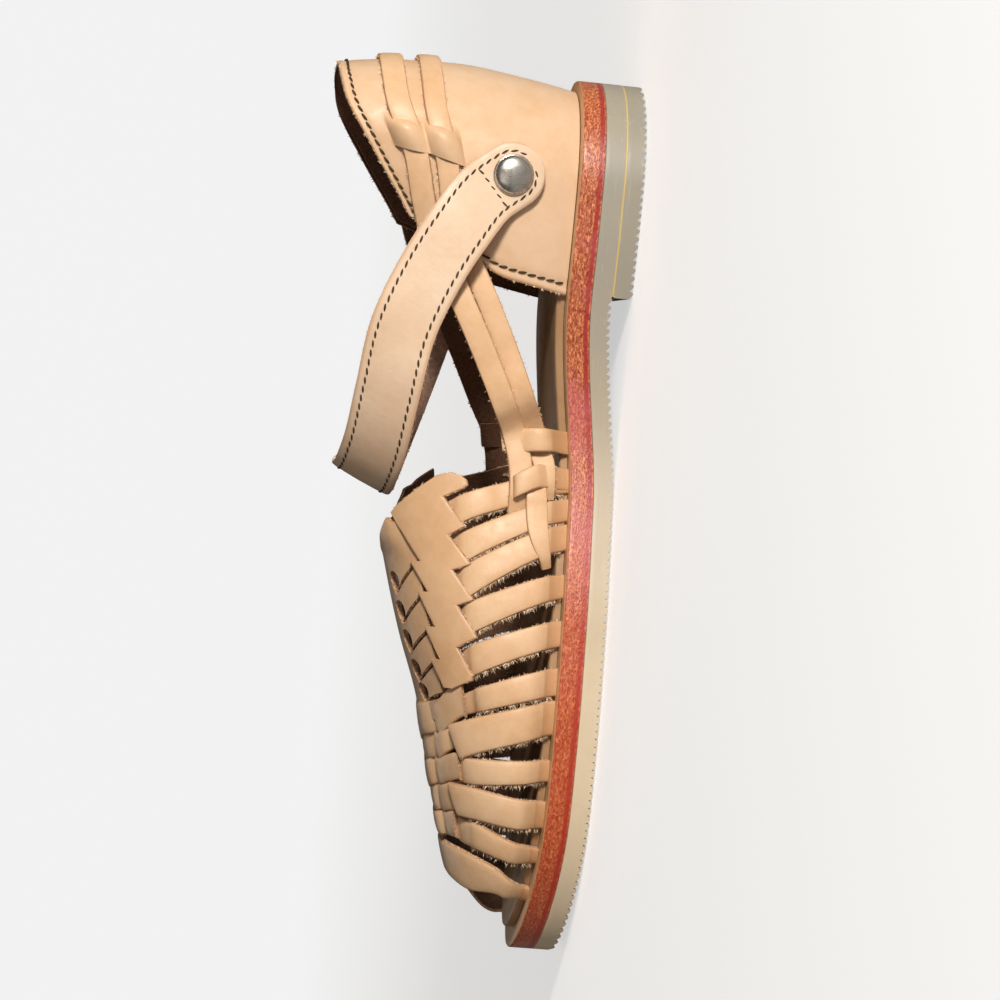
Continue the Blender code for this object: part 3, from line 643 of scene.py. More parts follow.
def vamp_strap(side, rows, thickness=0.0016, count=44, slant=0.0):
    """A strap laid on the woven front; a slant moves the front edge down at the strap's start.

    Each row gives the girth, the back edge, the front edge and the lift of the strap's underside
    over the last; the strap's face is the underside plus the thickness, a little crowned.
    """
    line = smooth_rows(rows, count)
    girth = line[:, 0:1] * side
    place = line[:, 1:2] + (line[:, 2:3] - line[:, 1:2]) * (ACROSS + 1) / 2
    fade = np.linspace(1, 0, count)[:, None] ** 2
    girth = girth + slant * side * fade * (ACROSS + 1) / 2
    base = vamp_point(place, girth)
    normal = vamp_normal(place, girth)
    lift = foot_lift(place, girth, line[:, 3:4])
    face = lift + thickness * (1 - ROUNDED) + STRAP_CROWN * (1 - ACROSS**2)
    foot = np.zeros_like(base)
    foot[..., 2] = -FOOT_DOWN * ease(0.97, 1.0, np.abs(girth))
    outer = base + normal * face[..., None] + foot
    inner = base + normal * lift[..., None] + foot
    # Painted shade: the strap darkens over its whole width near the sole, where it turns in under the upper.
    painted_foot_shade = ease(0.90, 0.965, np.abs(girth))
    return shell(outer, inner, np.maximum(np.abs(ACROSS) + 0 * place, painted_foot_shade))


def path_strap(rows, widths, thickness, crown=0.0002):
    """A strap along a path of points and face directions: a flat section, crowned and rounded."""
    across, out = strap_axes(rows)
    widths = np.asarray(widths)[:, None, None]
    flat = rows[:, None, :3] + across[:, None] * ACROSS[:, None] * widths / 2
    height = thickness * (0.5 - ROUNDED) + crown * (1 - ACROSS**2)
    outer = flat + out[:, None] * height[None, :, None]
    inner = flat - out[:, None] * (thickness / 2)
    return shell(outer, inner, np.broadcast_to(np.abs(ACROSS), outer.shape[:2]))


def tufts(name, lines, outs, length, per_metre, material, seed, spread=0.55):
    """Fibres standing out of a cut edge: slender blades at random places and angles."""
    rng = np.random.default_rng(seed)
    blades = []
    for line, out in zip(lines, outs):
        run = distances(line)
        count = int(run[-1] * per_metre)
        at = rng.uniform(0, run[-1], count)
        at += 0.0006 * np.sin(at * 900 + rng.uniform(0, 6))
        root = read(line, at, run)
        away = read(out, at, run)
        away = unit(away + rng.normal(0, spread, away.shape))
        side = unit(np.cross(away, rng.normal(0, 1, away.shape)))
        long = length * rng.uniform(0.3, 1.0, (count, 1)) ** 1.5
        wide = side * rng.uniform(0.00008, 0.00020, (count, 1))
        bend = np.cross(side, away) * long * rng.uniform(-0.4, 0.4, (count, 1))
        sunk = root - away * 0.0002
        waist = root + away * long * 0.6 + bend * 0.4
        blades.append(np.stack([
            sunk - wide, sunk + wide, waist + wide * 0.6, root + away * long + bend, waist - wide * 0.6,
        ], axis=1))
    blades = np.concatenate(blades)
    faces = np.arange(len(blades) * 5).reshape(-1, 5)
    piece = add_object(name, blades.reshape(-1, 3), faces, [material], sharp=180)


def stitches(line, out):
    """Threads of a seam: one slim capsule for each stitch, dipping into the leather at both ends."""
    run = distances(line)
    count = max(int(run[-1] / STITCH_PITCH), 1)
    at = (np.arange(count) + 0.5) * run[-1] / count
    middle = read(line, at, run)
    normal = unit(read(out, at, run))
    ahead = unit(read(line, at + 0.0004, run) - read(line, at - 0.0004, run))
    ahead = ahead * math.cos(STITCH_TURN) + np.cross(normal, ahead) * math.sin(STITCH_TURN)
    side = np.cross(normal, ahead)
    stations = np.array([-1.0, -0.8, -0.3, 0.3, 0.8, 1.0])
    swell = np.sqrt(np.clip(1 - stations**2 * 0.98, 0.02, 1))[:, None, None]
    sink = -0.75 * stations[:, None, None] ** 4
    turns = np.linspace(0, 2 * math.pi, THREAD_SIDES, endpoint=False)[:, None]
    normal, side = normal[:, None, None], side[:, None, None]
    ring = (side * np.cos(turns) + normal * np.sin(turns)) * swell
    reach = ahead[:, None, None] * stations[:, None, None] * STITCH_LENGTH / 2
    points = middle[:, None, None] + reach + (ring + normal * sink) * THREAD_RADIUS
    size = len(stations) * THREAD_SIDES
    ring_start = np.arange(0, size - THREAD_SIDES, THREAD_SIDES)[:, None]
    base = ring_start + np.arange(THREAD_SIDES)
    following = ring_start + np.roll(np.arange(THREAD_SIDES), -1)
    tube = np.stack([base, following, following + THREAD_SIDES, base + THREAD_SIDES], -1).reshape(-1, 4)
    near = np.array([[0, 3, 2, 1], [0, 5, 4, 3]])
    far = near[:, [0, 3, 2, 1]] + size - THREAD_SIDES
    one = np.concatenate([tube, near, far])
    faces = (one + np.arange(count)[:, None, None] * size).reshape(-1, 4)
    return points.reshape(-1, 3), faces


def add_threads(name, seams):
    """All stitches of one piece as one object."""
    points, faces = joined(seams)
    piece = add_object(name, points, faces, [THREAD], sharp=180, turn=True)


# Finishes
class Nodes:
    """Short ways to fill a node tree. A part is a socket of another node or a plain value."""

    def __init__(self, tree):
        self.tree = tree

    def put(self, socket, part):
        """Link a part to a socket, or set it as its value; a colour gets its fourth number."""
        if isinstance(part, bpy.types.NodeSocket):
            self.tree.links.new(part, socket)
        elif socket.type == "RGBA":
            socket.default_value = (*part, 1.0)
        else:
            socket.default_value = part

    def into(self, node, **parts):
        """Put parts into a node's inputs, with _ for each space of the input's name."""
        for key, part in parts.items():
            self.put(node.inputs[key.replace("_", " ")], part)

    def add(self, kind, settings=(), **parts):
        """A node with its settings and its inputs."""
        node = self.tree.nodes.new(kind)
        for key, value in dict(settings).items():
            setattr(node, key, value)
        self.into(node, **parts)
        return node

    def in_order(self, kind, settings, parts):
        """A node whose inputs are given in their order."""
        node = self.add(kind, settings)
        for socket, part in zip(node.inputs, parts):
            self.put(socket, part)
        return node.outputs[0]

    def math(self, operation, *parts):
        """A calculation with two or three parts."""
        return self.in_order("ShaderNodeMath", {"operation": operation}, parts)

    def times(self, first, second):
        """A product."""
        return self.math("MULTIPLY", first, second)

    def step(self, *parts):
        """A smooth step: the value, low and high, and what it gives there, 0 and 1 if not said."""
        return self.in_order("ShaderNodeMapRange", {"interpolation_type": "SMOOTHSTEP"}, parts)

    def mix(self, factor, first, second):
        """A mix of two colours."""
        node = self.add("ShaderNodeMix", {"data_type": "RGBA"})
        for place, part in ((0, factor), (6, first), (7, second)):
            self.put(node.inputs[place], part)
        return node.outputs[2]

    def noise(self, vector, **parts):
        """The strength of a cloudy noise."""
        return self.add("ShaderNodeTexNoise", Vector=vector, **parts).outputs["Fac"]

    def cells(self, vector, scale):
        """The distance to the nearest of many scattered points."""
        return self.add("ShaderNodeTexVoronoi", Vector=vector, Scale=scale).outputs["Distance"]

    def stretched(self, vector, scale):
        """A vector scaled along each axis."""
        return self.add("ShaderNodeMapping", Vector=vector, Scale=scale).outputs["Vector"]

    def axes(self, vector):
        """The three numbers of a vector."""
        return self.add("ShaderNodeSeparateXYZ", Vector=vector).outputs

    def spot(self):
        """The place on the object."""
        return self.add("ShaderNodeTexCoord").outputs["Object"]

    def strap(self):
        """The sheets' own attribute: way along, way across and nearness to the cut edge, which also marks
        the straps' feet for painted shade.
        """
        return self.add("ShaderNodeAttribute", {"attribute_name": "strap"}).outputs["Vector"]

    def group(self, tree, **parts):
        """The outputs of a node group with its own inputs."""
        return self.add("ShaderNodeGroup", {"node_tree": tree}, **parts).outputs

    def bump(self, shader, height, strength, distance):
        """A height that reaches the shader's normal."""
        node = self.add("ShaderNodeBump", Strength=strength, Distance=distance, Height=height)
        self.into(shader, Normal=node.outputs["Normal"])


def new_group(name, inputs, outputs):
    """An empty node group with named inputs and outputs; gives its nodes, what it gets and gives."""
    tree = bpy.data.node_groups.new(name, "ShaderNodeTree")
    for in_out, sockets in (("INPUT", inputs), ("OUTPUT", outputs)):
        for label, kind in sockets.items():
            tree.interface.new_socket(name=label, in_out=in_out, socket_type="NodeSocket" + kind)
    nodes = Nodes(tree)
    return nodes, nodes.add("NodeGroupInput").outputs, nodes.add("NodeGroupOutput")


def grain_group():
    """Smooth leather face: cloudy tone, small pores, fine wrinkles, a darker burnished edge; where the edge
    value marks a strap's foot, the same darkening is painted shade.
    """
    n, given, out = new_group(
        "leather face",
        {"Vector": "Vector", "Light": "Color", "Dark": "Color", "Burnish": "Color", "Edge": "Float"},
        {"Color": "Color", "Roughness": "Float", "Height": "Float"})
    where = given["Vector"]
    cloud = n.noise(where, Scale=42.0, Detail=4.0, Roughness=0.55, Distortion=0.4)
    mottle = n.noise(where, Scale=260.0, Detail=5.0, Roughness=0.6)
    fine = n.noise(where, Scale=1500.0, Detail=3.0, Roughness=0.6)
    pit = n.step(n.cells(where, 1350.0), 0.0, 0.25)
    small = n.step(mottle, 0.35, 0.70)
    amount = n.math("MULTIPLY_ADD", n.step(cloud, 0.36, 0.66), 0.62, n.times(small, 0.30))
    colour = n.mix(amount, given["Light"], given["Dark"])
    colour = n.mix(n.times(n.math("SUBTRACT", 1.0, pit), 0.10), colour, given["Burnish"])
    colour = n.mix(n.times(n.step(given["Edge"], 0.86, 1.0), 0.55), colour, given["Burnish"])
    height = n.math("MULTIPLY_ADD", fine, 0.5, n.times(pit, 0.5))
    height = n.math("MULTIPLY_ADD", mottle, 0.9, height)
    n.into(out, Color=colour, Roughness=n.math("MULTIPLY_ADD", small, 0.14, 0.40), Height=height)
    return n.tree


def fibre_group():
    """Raw leather: torn fibres of two tones with dark pits."""
    n, given, out = new_group(
        "raw fibres",
        {"Vector": "Vector", "Light": "Color", "Dark": "Color", "Pit": "Color", "Scale": "Float",
         "Pits": "Float"},
        {"Color": "Color", "Height": "Float"})
    where, scale = given["Vector"], given["Scale"]
    strands = n.noise(where, Scale=scale, Detail=6.0, Roughness=0.7, Distortion=0.9)
    knots = n.cells(where, scale)
    colour = n.mix(n.step(strands, 0.38, 0.62), given["Dark"], given["Light"])
    colour = n.mix(n.times(n.step(knots, 0.75, 0.35), given["Pits"]), colour, given["Pit"])
    n.into(out, Color=colour, Height=n.math("MULTIPLY_ADD", knots, 0.5, strands))
    return n.tree


GRAIN = grain_group()
FIBRE = fibre_group()


def start_material(name, **values):
    """A material with its shader's plain values set; gives it, its nodes and its shader."""
    made = bpy.data.materials.new(name)
    made.use_nodes = True
    nodes = Nodes(made.node_tree)
    shader = made.node_tree.nodes["Principled BSDF"]
    nodes.into(shader, **values)
    return made, nodes, shader


def leather(name, light, dark, burnish_and_shade, creases=0.0):
    """Smooth leather, with soft creases across the strap where it is bent."""
    made, n, shader = start_material(name, Specular_IOR_Level=0.42)
    strap = n.strap()
    edge = n.axes(strap)["Z"]
    face = n.group(GRAIN, Vector=n.spot(), Light=light, Dark=dark, Burnish=burnish_and_shade, Edge=edge)
    n.into(shader, Base_Color=face["Color"], Roughness=face["Roughness"])
    height = face["Height"]
    if creases:
        lines = n.noise(n.stretched(strap, (620, 150, 0)), Scale=1.0, Detail=3.0, Distortion=0.8)
        height = n.math("MULTIPLY_ADD", lines, creases, height)
    n.bump(shader, height, 0.32, 0.00022)
    return made


def raw(name, light, dark, pit, scale=1300.0, pits=0.5, depth=0.0004):
    """Raw cut or flesh side of leather: matt, fibrous."""
    made, n, shader = start_material(
        name, Roughness=0.92, Specular_IOR_Level=0.2, Sheen_Weight=0.15)
    fibres = n.group(FIBRE, Vector=n.spot(), Light=light, Dark=dark, Pit=pit, Scale=scale, Pits=pits)
    n.into(shader, Base_Color=fibres["Color"])
    n.bump(shader, fibres["Height"], 0.8, depth)
    return made


def midsole_finish():
    """Dyed midsole edge: red-orange fibres with light specks, a dark line low down, and a painted pink
    reflection over the waist.
    """
    made, n, shader = start_material(
        "midsole edge", Roughness=0.34, Specular_IOR_Level=0.55, Coat_Weight=0.25, Coat_Roughness=0.22)
    where = n.spot()
    fibres = n.group(
        FIBRE, Vector=n.stretched(where, (1.0, 0.55, 1.2)), Light=(0.95, 0.36, 0.14),
        Dark=(0.32, 0.026, 0.007), Pit=(0.20, 0.012, 0.005), Scale=1450.0, Pits=0.5)
    place, height, _ = n.axes(n.strap())
    reflection_patches = n.step(n.noise(where, Scale=55.0, Detail=3.0), 0.38, 0.68)
    low = n.times(n.step(height, 0.30, 0.20), n.step(height, 0.02, 0.10))
    colour = n.mix(n.times(low, 0.85), fibres["Color"], (0.36, 0.012, 0.016))
    # Painted reflection: pink patches of sky glare over the waist.
    waist = n.times(n.step(place, 0.05, 0.28), n.step(place, 0.66, 0.50))
    colour = n.mix(n.times(n.times(reflection_patches, waist), 0.50), colour, (0.60, 0.13, 0.16))
    colour = n.mix(n.times(n.step(place, 0.40, 0.62), 0.42), colour, (0.56, 0.050, 0.004))
    colour = n.mix(n.step(height, 0.93, 0.975), colour, (0.62, 0.33, 0.16))
    n.into(shader, Base_Color=colour)
    n.bump(shader, fibres["Height"], 0.55, 0.00028)
    return made


def rubber_finish(name, heel, toe):
    """Cream rubber, darker and greyer at the heel, partly its own tone and partly painted shade, and
    yellower at the toe, with soft clouds and scuffs.
    """
    made, n, shader = start_material(name, Roughness=0.46, Specular_IOR_Level=0.4)
    where = n.spot()
    colour = n.mix(n.step(n.axes(where)["Y"], -0.10, 0.11), heel, toe)
    cloud = n.step(n.noise(where, Scale=48.0, Detail=5.0, Roughness=0.6), 0.42, 0.70)
    colour = n.mix(n.times(cloud, 0.22), colour, (0.50, 0.40, 0.24))
    scuff = n.noise(n.stretched(where, (900, 90, 1400)), Scale=1.0, Detail=3.0)
    colour = n.mix(n.times(n.step(scuff, 0.60, 0.74), 0.25), colour, (0.66, 0.60, 0.47))
    n.into(shader, Base_Color=colour)
    n.bump(shader, scuff, 0.25, 0.00012)
    return made


def thread_finish():
    """Waxed olive-brown thread with a fine twist."""
    made, n, shader = start_material("thread", Roughness=0.6, Specular_IOR_Level=0.3)
    twist = n.noise(n.spot(), Scale=2600.0, Detail=2.0)
    dark, light = (0.030, 0.018, 0.008), (0.105, 0.065, 0.028)
    n.into(shader, Base_Color=n.mix(n.step(twist, 0.35, 0.65), dark, light))
    n.bump(shader, twist, 0.5, 0.0001)
    return made


def metal_finish():
    """Polished nickel with faint rubbed marks."""
    made, n, shader = start_material("snap metal", Metallic=1.0)
    marks = n.noise(n.spot(), Scale=420.0, Detail=4.0, Roughness=0.7)
    bright, rubbed = (0.72, 0.69, 0.63), (0.52, 0.49, 0.44)
    n.into(
        shader, Base_Color=n.mix(n.step(marks, 0.4, 0.7), bright, rubbed),
        Roughness=n.step(marks, 0.35, 0.75, 0.20, 0.34))
    return made


# The two tones and the burnished edge of each leather, the strap leather's burnish colour also painting
# shade at the straps' feet; the two tones and the pits of each raw side
TAN = leather("upper leather", (0.79, 0.55, 0.36), (0.72, 0.44, 0.24), (0.50, 0.24, 0.10))
# The plate leather over the crest is darker and browner than the upper leather, partly as painted shade.
PLATE_TAN = leather("plate leather", (0.74, 0.46, 0.26), (0.62, 0.35, 0.17), (0.42, 0.19, 0.07))
STRAP_TAN = leather("strap leather", (0.82, 0.54, 0.32), (0.70, 0.41, 0.21), (0.50, 0.24, 0.10), 0.7)
ANKLE_TAN = leather("ankle leather", (0.85, 0.63, 0.45), (0.77, 0.52, 0.34), (0.52, 0.28, 0.14), 0.7)
MIDSOLE_TOP = leather("midsole top", (0.68, 0.42, 0.22), (0.52, 0.28, 0.12), (0.34, 0.14, 0.05))
INSOLE_TAN = leather("insole leather", (0.46, 0.27, 0.14), (0.36, 0.20, 0.09), (0.34, 0.16, 0.07))
# Painted shade: the flesh side is coloured dark brown so the insides of the upper read as shadow.
SHADED_FLESH = raw(
    "flesh side", (0.22, 0.110, 0.060), (0.14, 0.065, 0.034), (0.12, 0.05, 0.03), 1500.0, 0.3, 0.0003)
CUT_EDGE = raw("cut edge", (0.76, 0.50, 0.32), (0.50, 0.26, 0.12), (0.26, 0.10, 0.04), 1700.0)
# Painted shade: the cup lining is coloured dark brown so the inside of the heel cup reads as shadow.
LINING = raw("shaded lining", (0.26, 0.125, 0.075), (0.17, 0.075, 0.045), (0.10, 0.04, 0.03), pits=0.35)
STRAP_LINING = raw("pink lining", (0.70, 0.45, 0.35), (0.56, 0.32, 0.22), (0.38, 0.20, 0.13), pits=0.35)
FIBRES = raw("loose fibres", (0.97, 0.82, 0.62), (0.80, 0.56, 0.34), (0.50, 0.28, 0.12), 600.0, 0.2)
DARK_FIBRES = raw("shaded fibres", (0.50, 0.28, 0.13), (0.20, 0.09, 0.03), (0.10, 0.04, 0.02), 600.0, 0.3)
MIDSOLE_EDGE = midsole_finish()
# The heel colours are partly painted shade: the heel and the lift are darkened and greyed where the sole
# lies in shade.
RUBBER = rubber_finish("cream rubber", (0.36, 0.33, 0.27), (0.78, 0.63, 0.44))
LIFT_RUBBER = rubber_finish("lift rubber", (0.34, 0.31, 0.25), (0.40, 0.36, 0.28))
GLUE = rubber_finish("glue", (0.62, 0.46, 0.18), (0.62, 0.46, 0.18))
THREAD = thread_finish()
METAL = metal_finish()
LEATHER = [TAN, SHADED_FLESH, CUT_EDGE]
PLATE_LEATHER = [PLATE_TAN, SHADED_FLESH, CUT_EDGE]
STRAP_LEATHER = [STRAP_TAN, SHADED_FLESH, CUT_EDGE]
ANKLE_LEATHER = [ANKLE_TAN, SHADED_FLESH, CUT_EDGE]


# Sole
def end_spaced(low, high, count):
    """Places between two ends, closer together near both ends."""
    return low + (high - low) * (1 - np.cos(np.linspace(0, math.pi, count))) / 2


def layer(name, places, bottom, top, materials, node, inset=0.0, rounding=0.0008, steps=5):
    """A sole layer: the outline carried from bottom to top, its top edge rounded in steps."""
    inner, outer = outline(places, inset)
    inner, outer, bottom, top = (values[:, None] for values in (inner, outer, bottom, top))
    turn = np.linspace(0, math.pi / 2, steps)
    reach = np.minimum(rounding, (outer - inner) / 4)
    side_height = (top - bottom - reach) * SIDE_SHARES + bottom
    round_in = reach * (1 - np.cos(turn))
    round_up = (top - reach) + reach * np.sin(turn)
    flat = (inner + outer) / 2 + ((outer - inner) / 2 - reach) * TOP_SHARES
    upright = np.zeros_like(side_height)
    x = np.concatenate([
        inner + upright, inner + round_in, flat, (outer - round_in)[:, ::-1], outer + upright], axis=1)
    z = np.concatenate([
        side_height, round_up, top + 0 * flat, round_up[:, ::-1], side_height[:, ::-1]], axis=1)
    y = places[:, None] + 0 * x
    rings = np.stack([x, y, z], axis=2) + MOVE
    rows, columns = x.shape
    index = np.arange(x.size).reshape(rows, columns)
    following = np.roll(index, -1, axis=1)
    quads = np.stack([index[:-1], following[:-1], following[1:], index[1:]], -1).reshape(-1, 4)
    extra = np.stack([y / SOLE_LENGTH, (z - bottom) / (top - bottom), 0 * y], axis=2)
    part = np.tile(np.arange(columns), rows - 1)
    side = len(SIDE_SHARES) + steps
    on_top = (part >= side - 1) & (part < columns - side) & (len(materials) > 1)
    piece = add_object(
        name, rings.reshape(-1, 3), quads.tolist() + [index[0].tolist(), index[-1][::-1].tolist()],
        materials, np.concatenate([on_top, [0, 0]]), extra, sharp=32, turn=True)
    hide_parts(node)


def toothed(start, stop):
    """Places and depths of saw teeth: a flat land, a slope and a sharp notch for each tooth."""
    count = int((stop - start) / TOOTH_PITCH)
    pitch = (stop - start) / count
    shares = np.array([0.06, 0.12, 0.40, 0.50, 0.96])
    depths = np.tile([0.0003, 0.0, 0.0, 0.0002, TOOTH_DEPTH], count)
    return (start + np.arange(count)[:, None] * pitch + pitch * shares).ravel(), depths


def build_sole():
    """Heel lift, glue line, outsole, midsole and insole."""
    front = SOLE_LENGTH - SOLE_END
    places, depths = toothed(SOLE_END, LIFT_LENGTH)
    top = np.full_like(places, HEEL_LIFT - GAP)
    layer(
        "heel_lift_rubber", places, depths, top, [LIFT_RUBBER], "heel_lift",
        rounding=0.0003, steps=3)
    places = np.linspace(SOLE_END * 2, LIFT_LENGTH - 0.0004, 60)
    bottom = np.full_like(places, HEEL_LIFT - GAP * 1.4)
    top = np.full_like(places, HEEL_LIFT + 0.0001)
    layer(
        "lift_glue_line", places, bottom, top, [GLUE], "heel_lift",
        inset=-0.00012, rounding=0.0001, steps=2)
    heel = end_spaced(SOLE_END, 2 * LIFT_LENGTH, 120)
    heel = heel[heel < LIFT_LENGTH]
    teeth, depths = toothed(LIFT_LENGTH, front)
    places = np.concatenate([heel, teeth])
    bottom = floor_height(places) + np.concatenate([np.zeros_like(heel), depths])
    top = floor_height(places) + OUTSOLE
    layer("outsole_rubber", places, bottom, top, [RUBBER], "outsole", rounding=0.0003, steps=3)
    places = end_spaced(SOLE_END, front, 190)
    bottom = floor_height(places) + OUTSOLE + GAP * 0.4
    layer(
        "midsole_stack", places, bottom, seat_height(places), [MIDSOLE_EDGE, MIDSOLE_TOP],
        "midsole", rounding=0.0009)
    inset = LEDGE + FOOTBED_SPARE
    places = end_spaced(inset + SOLE_END, front - inset, 120)
    bottom = seat_height(places) + GAP / 2
    top = seat_height(places) + GAP + INSOLE
    layer("footbed", places, bottom, top, [INSOLE_TAN], "insole", inset=inset)


# Woven front
def strap_edges_at(number, girth):
    """Back and front edge of a cross strap at a girth: straight lines from slot to sole."""
    slot_back, slot_front, sole_back, sole_front = row_of(STRAPS, number)[1:5]
    way = (girth - SLOT_GIRTH) / (SOLE_GIRTH - SLOT_GIRTH)
    if number > LAST_SPREAD_STRAP:
        way = max(way, 0.0)
    return slot_back + (sole_back - slot_back) * way, slot_front + (sole_front - slot_front) * way


def strap_rows(number):
    """Rows of one cross strap, from its upper end to the sole."""
    end = row_of(STRAPS, number)[5]
    if number == 1:
        starts, lifts = (-0.0019,), SLOT_LIFTS + FIRST_STRAP_LIFTS
    elif number <= LAST_SLOT_STRAP:
        starts, lifts = (-0.0019,), SLOT_LIFTS + SLOT_STRAP_LIFTS
    elif number in OVER_STRAPS:
        starts, lifts = (0.0013, 0.0016), OVER_STRAP_LIFTS
    else:
        starts, lifts = (-0.0014, -0.0008), UNDER_STRAP_LIFTS
    upper = tuple((end + 0.04 * place, lift) for place, lift in enumerate(starts))
    return [(girth, *strap_edges_at(number, girth), lift) for girth, lift in upper + lifts]


def crest_rows(number):
    """Rows of a band from its free end on the inner side over the crest to the outer sole."""
    back, front, end_back, end_front, joint = row_of(CREST_BANDS, number)[1:6]
    rise = 0.0011 if number % 2 == 0 else 0.0006
    rows = [
        (-joint - 0.05, end_back, end_front, -0.0012), (-joint + 0.02, end_back, end_front, -0.0006),
        (-joint * 0.6, (end_back * 3 + back) / 4, (end_front * 3 + front) / 4, rise),
        (-0.04, (back + end_back) / 2, (front + end_front) / 2, rise), (0.085, back, front, rise - 0.0004)]
    spare = FAR_SPARE * (WIDE_SHARE if number in WIDE_BANDS else BAND_SHARE)
    for girth, lift in CREST_BAND_LIFTS:
        back, front = strap_edges_at(number, girth)
        rows.append((girth, back - spare, front + spare, lift))
    return rows


def tile_rows(number):
    """Rows of the short inner piece of a band, from under its free end to the cross straps."""
    end_back, end_front, joint, inner_back, inner_front, end = row_of(CREST_BANDS, number)[3:]
    lift = -0.0005 if number in OVER_STRAPS else 0.0011
    mean = ((end_back + inner_back) / 2, (end_front + inner_front) / 2)
    return [
        (-joint + 0.01, end_back, end_front, 0.0003), (-joint - 0.04, end_back, end_front, 0.0006),
        (-(joint + end) / 2, *mean, 0.0006), (-end + 0.03, inner_back, inner_front, lift * 0.8),
        (-end, inner_back, inner_front, lift)]


def plate(at, girth, lift, thickness, near):
    """A plate of leather laid over the last, with its edge a little rounded and burnished."""
    base = vamp_point(at, girth)
    normal = vamp_normal(at, girth)
    drop = thickness * 0.25 * (1 - ease(0.0, 0.0006, near))
    face = base + normal * (lift + thickness - drop)[..., None]
    return shell(face, base + normal * lift[..., None], 1 - ease(0.0, 0.0010, near) * 0.2)


def upper_plate():
    """Upper plate between its stepped inner edge and its slotted side edge."""
    breaks = np.concatenate([column(PLATE_SIDE, "at"), column(PLATE_STEPS, "at")])
    place = np.unique(np.concatenate([np.linspace(breaks.min(), breaks.max(), 150), breaks]))
    inside = straight(PLATE_STEPS, "girth", place)[:, None]
    outside = np.maximum(straight(PLATE_SIDE, "girth", place)[:, None], inside + 0.004)
    share = np.concatenate([[0, 0.02], np.linspace(0.06, 0.94, 22), [0.98, 1.0]])
    girth = -(inside + (outside - inside) * share)
    near = np.minimum(share, 1 - share) * (outside - inside) * 0.075
    return plate(place[:, None] + 0 * girth, girth, 0.0018 + 0 * girth, 0.0015, near)


def lower_plate():
    """Lower plate: from under the upper plate on the inner side to the slots on the outer side."""
    spread = np.linspace(-INNER_REACH, 1.0, 80)[:, None]
    down = np.concatenate([[0, 0.006], np.linspace(0.02, 0.98, 110), [1.0]])
    outside = straight(PLATE_SIDE, "girth", 0.53)
    middle = np.where(spread < 0, spread * INNER_REACH, spread * outside)
    back = straight(THROAT, "at", middle) + 0.012 * ease(0.20, 0.26, -middle)
    at = back + (PLATE_FRONT - back) * down
    limit = straight(PLATE_SIDE, "girth", at)
    limit = outside + (limit - outside) * ease(0.50, 0.80, spread)
    limit = np.where(at > 0.69, 0.54, limit)
    limit = np.where(at < 0.4895, np.minimum(limit, 0.60), limit)
    girth = np.where(spread < 0, spread * INNER_REACH + 0 * at, spread * limit)
    near = np.minimum(down * 0.05, (1 - np.abs(spread)) * 0.03)
    joined_up = (1 - ease(*TAB_JOINT, at)) * (1 - ease(0.20, 0.36, -girth))
    return plate(at, girth, 0.0002 + TAB_RISE * joined_up, 0.0016, near)


def prism(outline_points):
    """A cutter through the wall: an outline on the last carried inwards and outwards."""
    at, girth = np.asarray(outline_points).T
    base = vamp_point(at, girth)
    through = vamp_normal(at, girth).mean(axis=0) * 0.006
    count = len(at)
    ring = np.arange(count)
    following = np.roll(ring, -1)
    sides = np.stack([ring, following, following + count, ring + count], -1).tolist()
    caps = [ring[::-1].tolist(), (ring + count).tolist()]
    return np.concatenate([base - through, base + through]), sides + caps


def slit_line(row, step):
    """Place and girth along one slit, from its leaf opening to its lower end."""
    _, front, girth, slit_at, slit_girth = row
    return front - 0.0015 + (slit_at - front) * step, -girth - (slit_girth - girth) * step


def tab_cutter():
    """Leaf openings and slanting slits between the tabs, as one cutter object."""
    points, faces, start = [], [], 0
    turn = np.linspace(0, 2 * math.pi, 14, endpoint=False)
    step = np.linspace(0, 1, 7)
    for row in TAB_CUTS[1:]:
        back, front, girth = row[:3]
        wide = LEAF_HALF_WIDTH * np.sin(turn) * (1 - 0.3 * np.cos(turn))
        leaf = np.stack([(back + front) / 2 + (front - back) / 2 * np.cos(turn), -girth + wide], -1)
        at, across = slit_line(row, step)
        wide = 0.0017 + 0.0011 * np.sin(step * math.pi)
        slit = np.concatenate([np.stack([at - wide, across], -1), np.stack([at + wide, across], -1)[::-1]])
        for shape in (leaf, slit):
            part, part_faces = prism(shape)
            points.append(part)
            faces += [[corner + start for corner in face] for face in part_faces]
            start += len(part)
    mesh = new_mesh("tab cutter", np.concatenate(points), faces, [CUT_EDGE])
    turn_outwards(mesh)
    return in_scene("tab cutter", mesh)


def cut_tabs(piece):
    """Cut the openings out of the lower plate and keep the result as its mesh."""
    cutter = tab_cutter()
    cut = piece.modifiers.new("openings", "BOOLEAN")
    cut.operation = "DIFFERENCE"
    cut.solver = "EXACT"
    cut.use_self = True
    cut.object = cutter
    bpy.context.view_layer.update()
    graph = bpy.context.evaluated_depsgraph_get()
    mesh = bpy.data.meshes.new_from_object(piece.evaluated_get(graph))
    piece.modifiers.clear()
    piece.data = mesh
    bpy.data.objects.remove(cutter)


def edge_line(place, girth, lift, at_step, girth_step):
    """Points of an edge on the last, and the ways towards points a step further out."""
    line = vamp_point(place, girth) + vamp_normal(place, girth) * np.asarray(lift)[..., None]
    out = vamp_point(place + at_step, girth + girth_step) - vamp_point(place, girth)
    return line, unit(out)


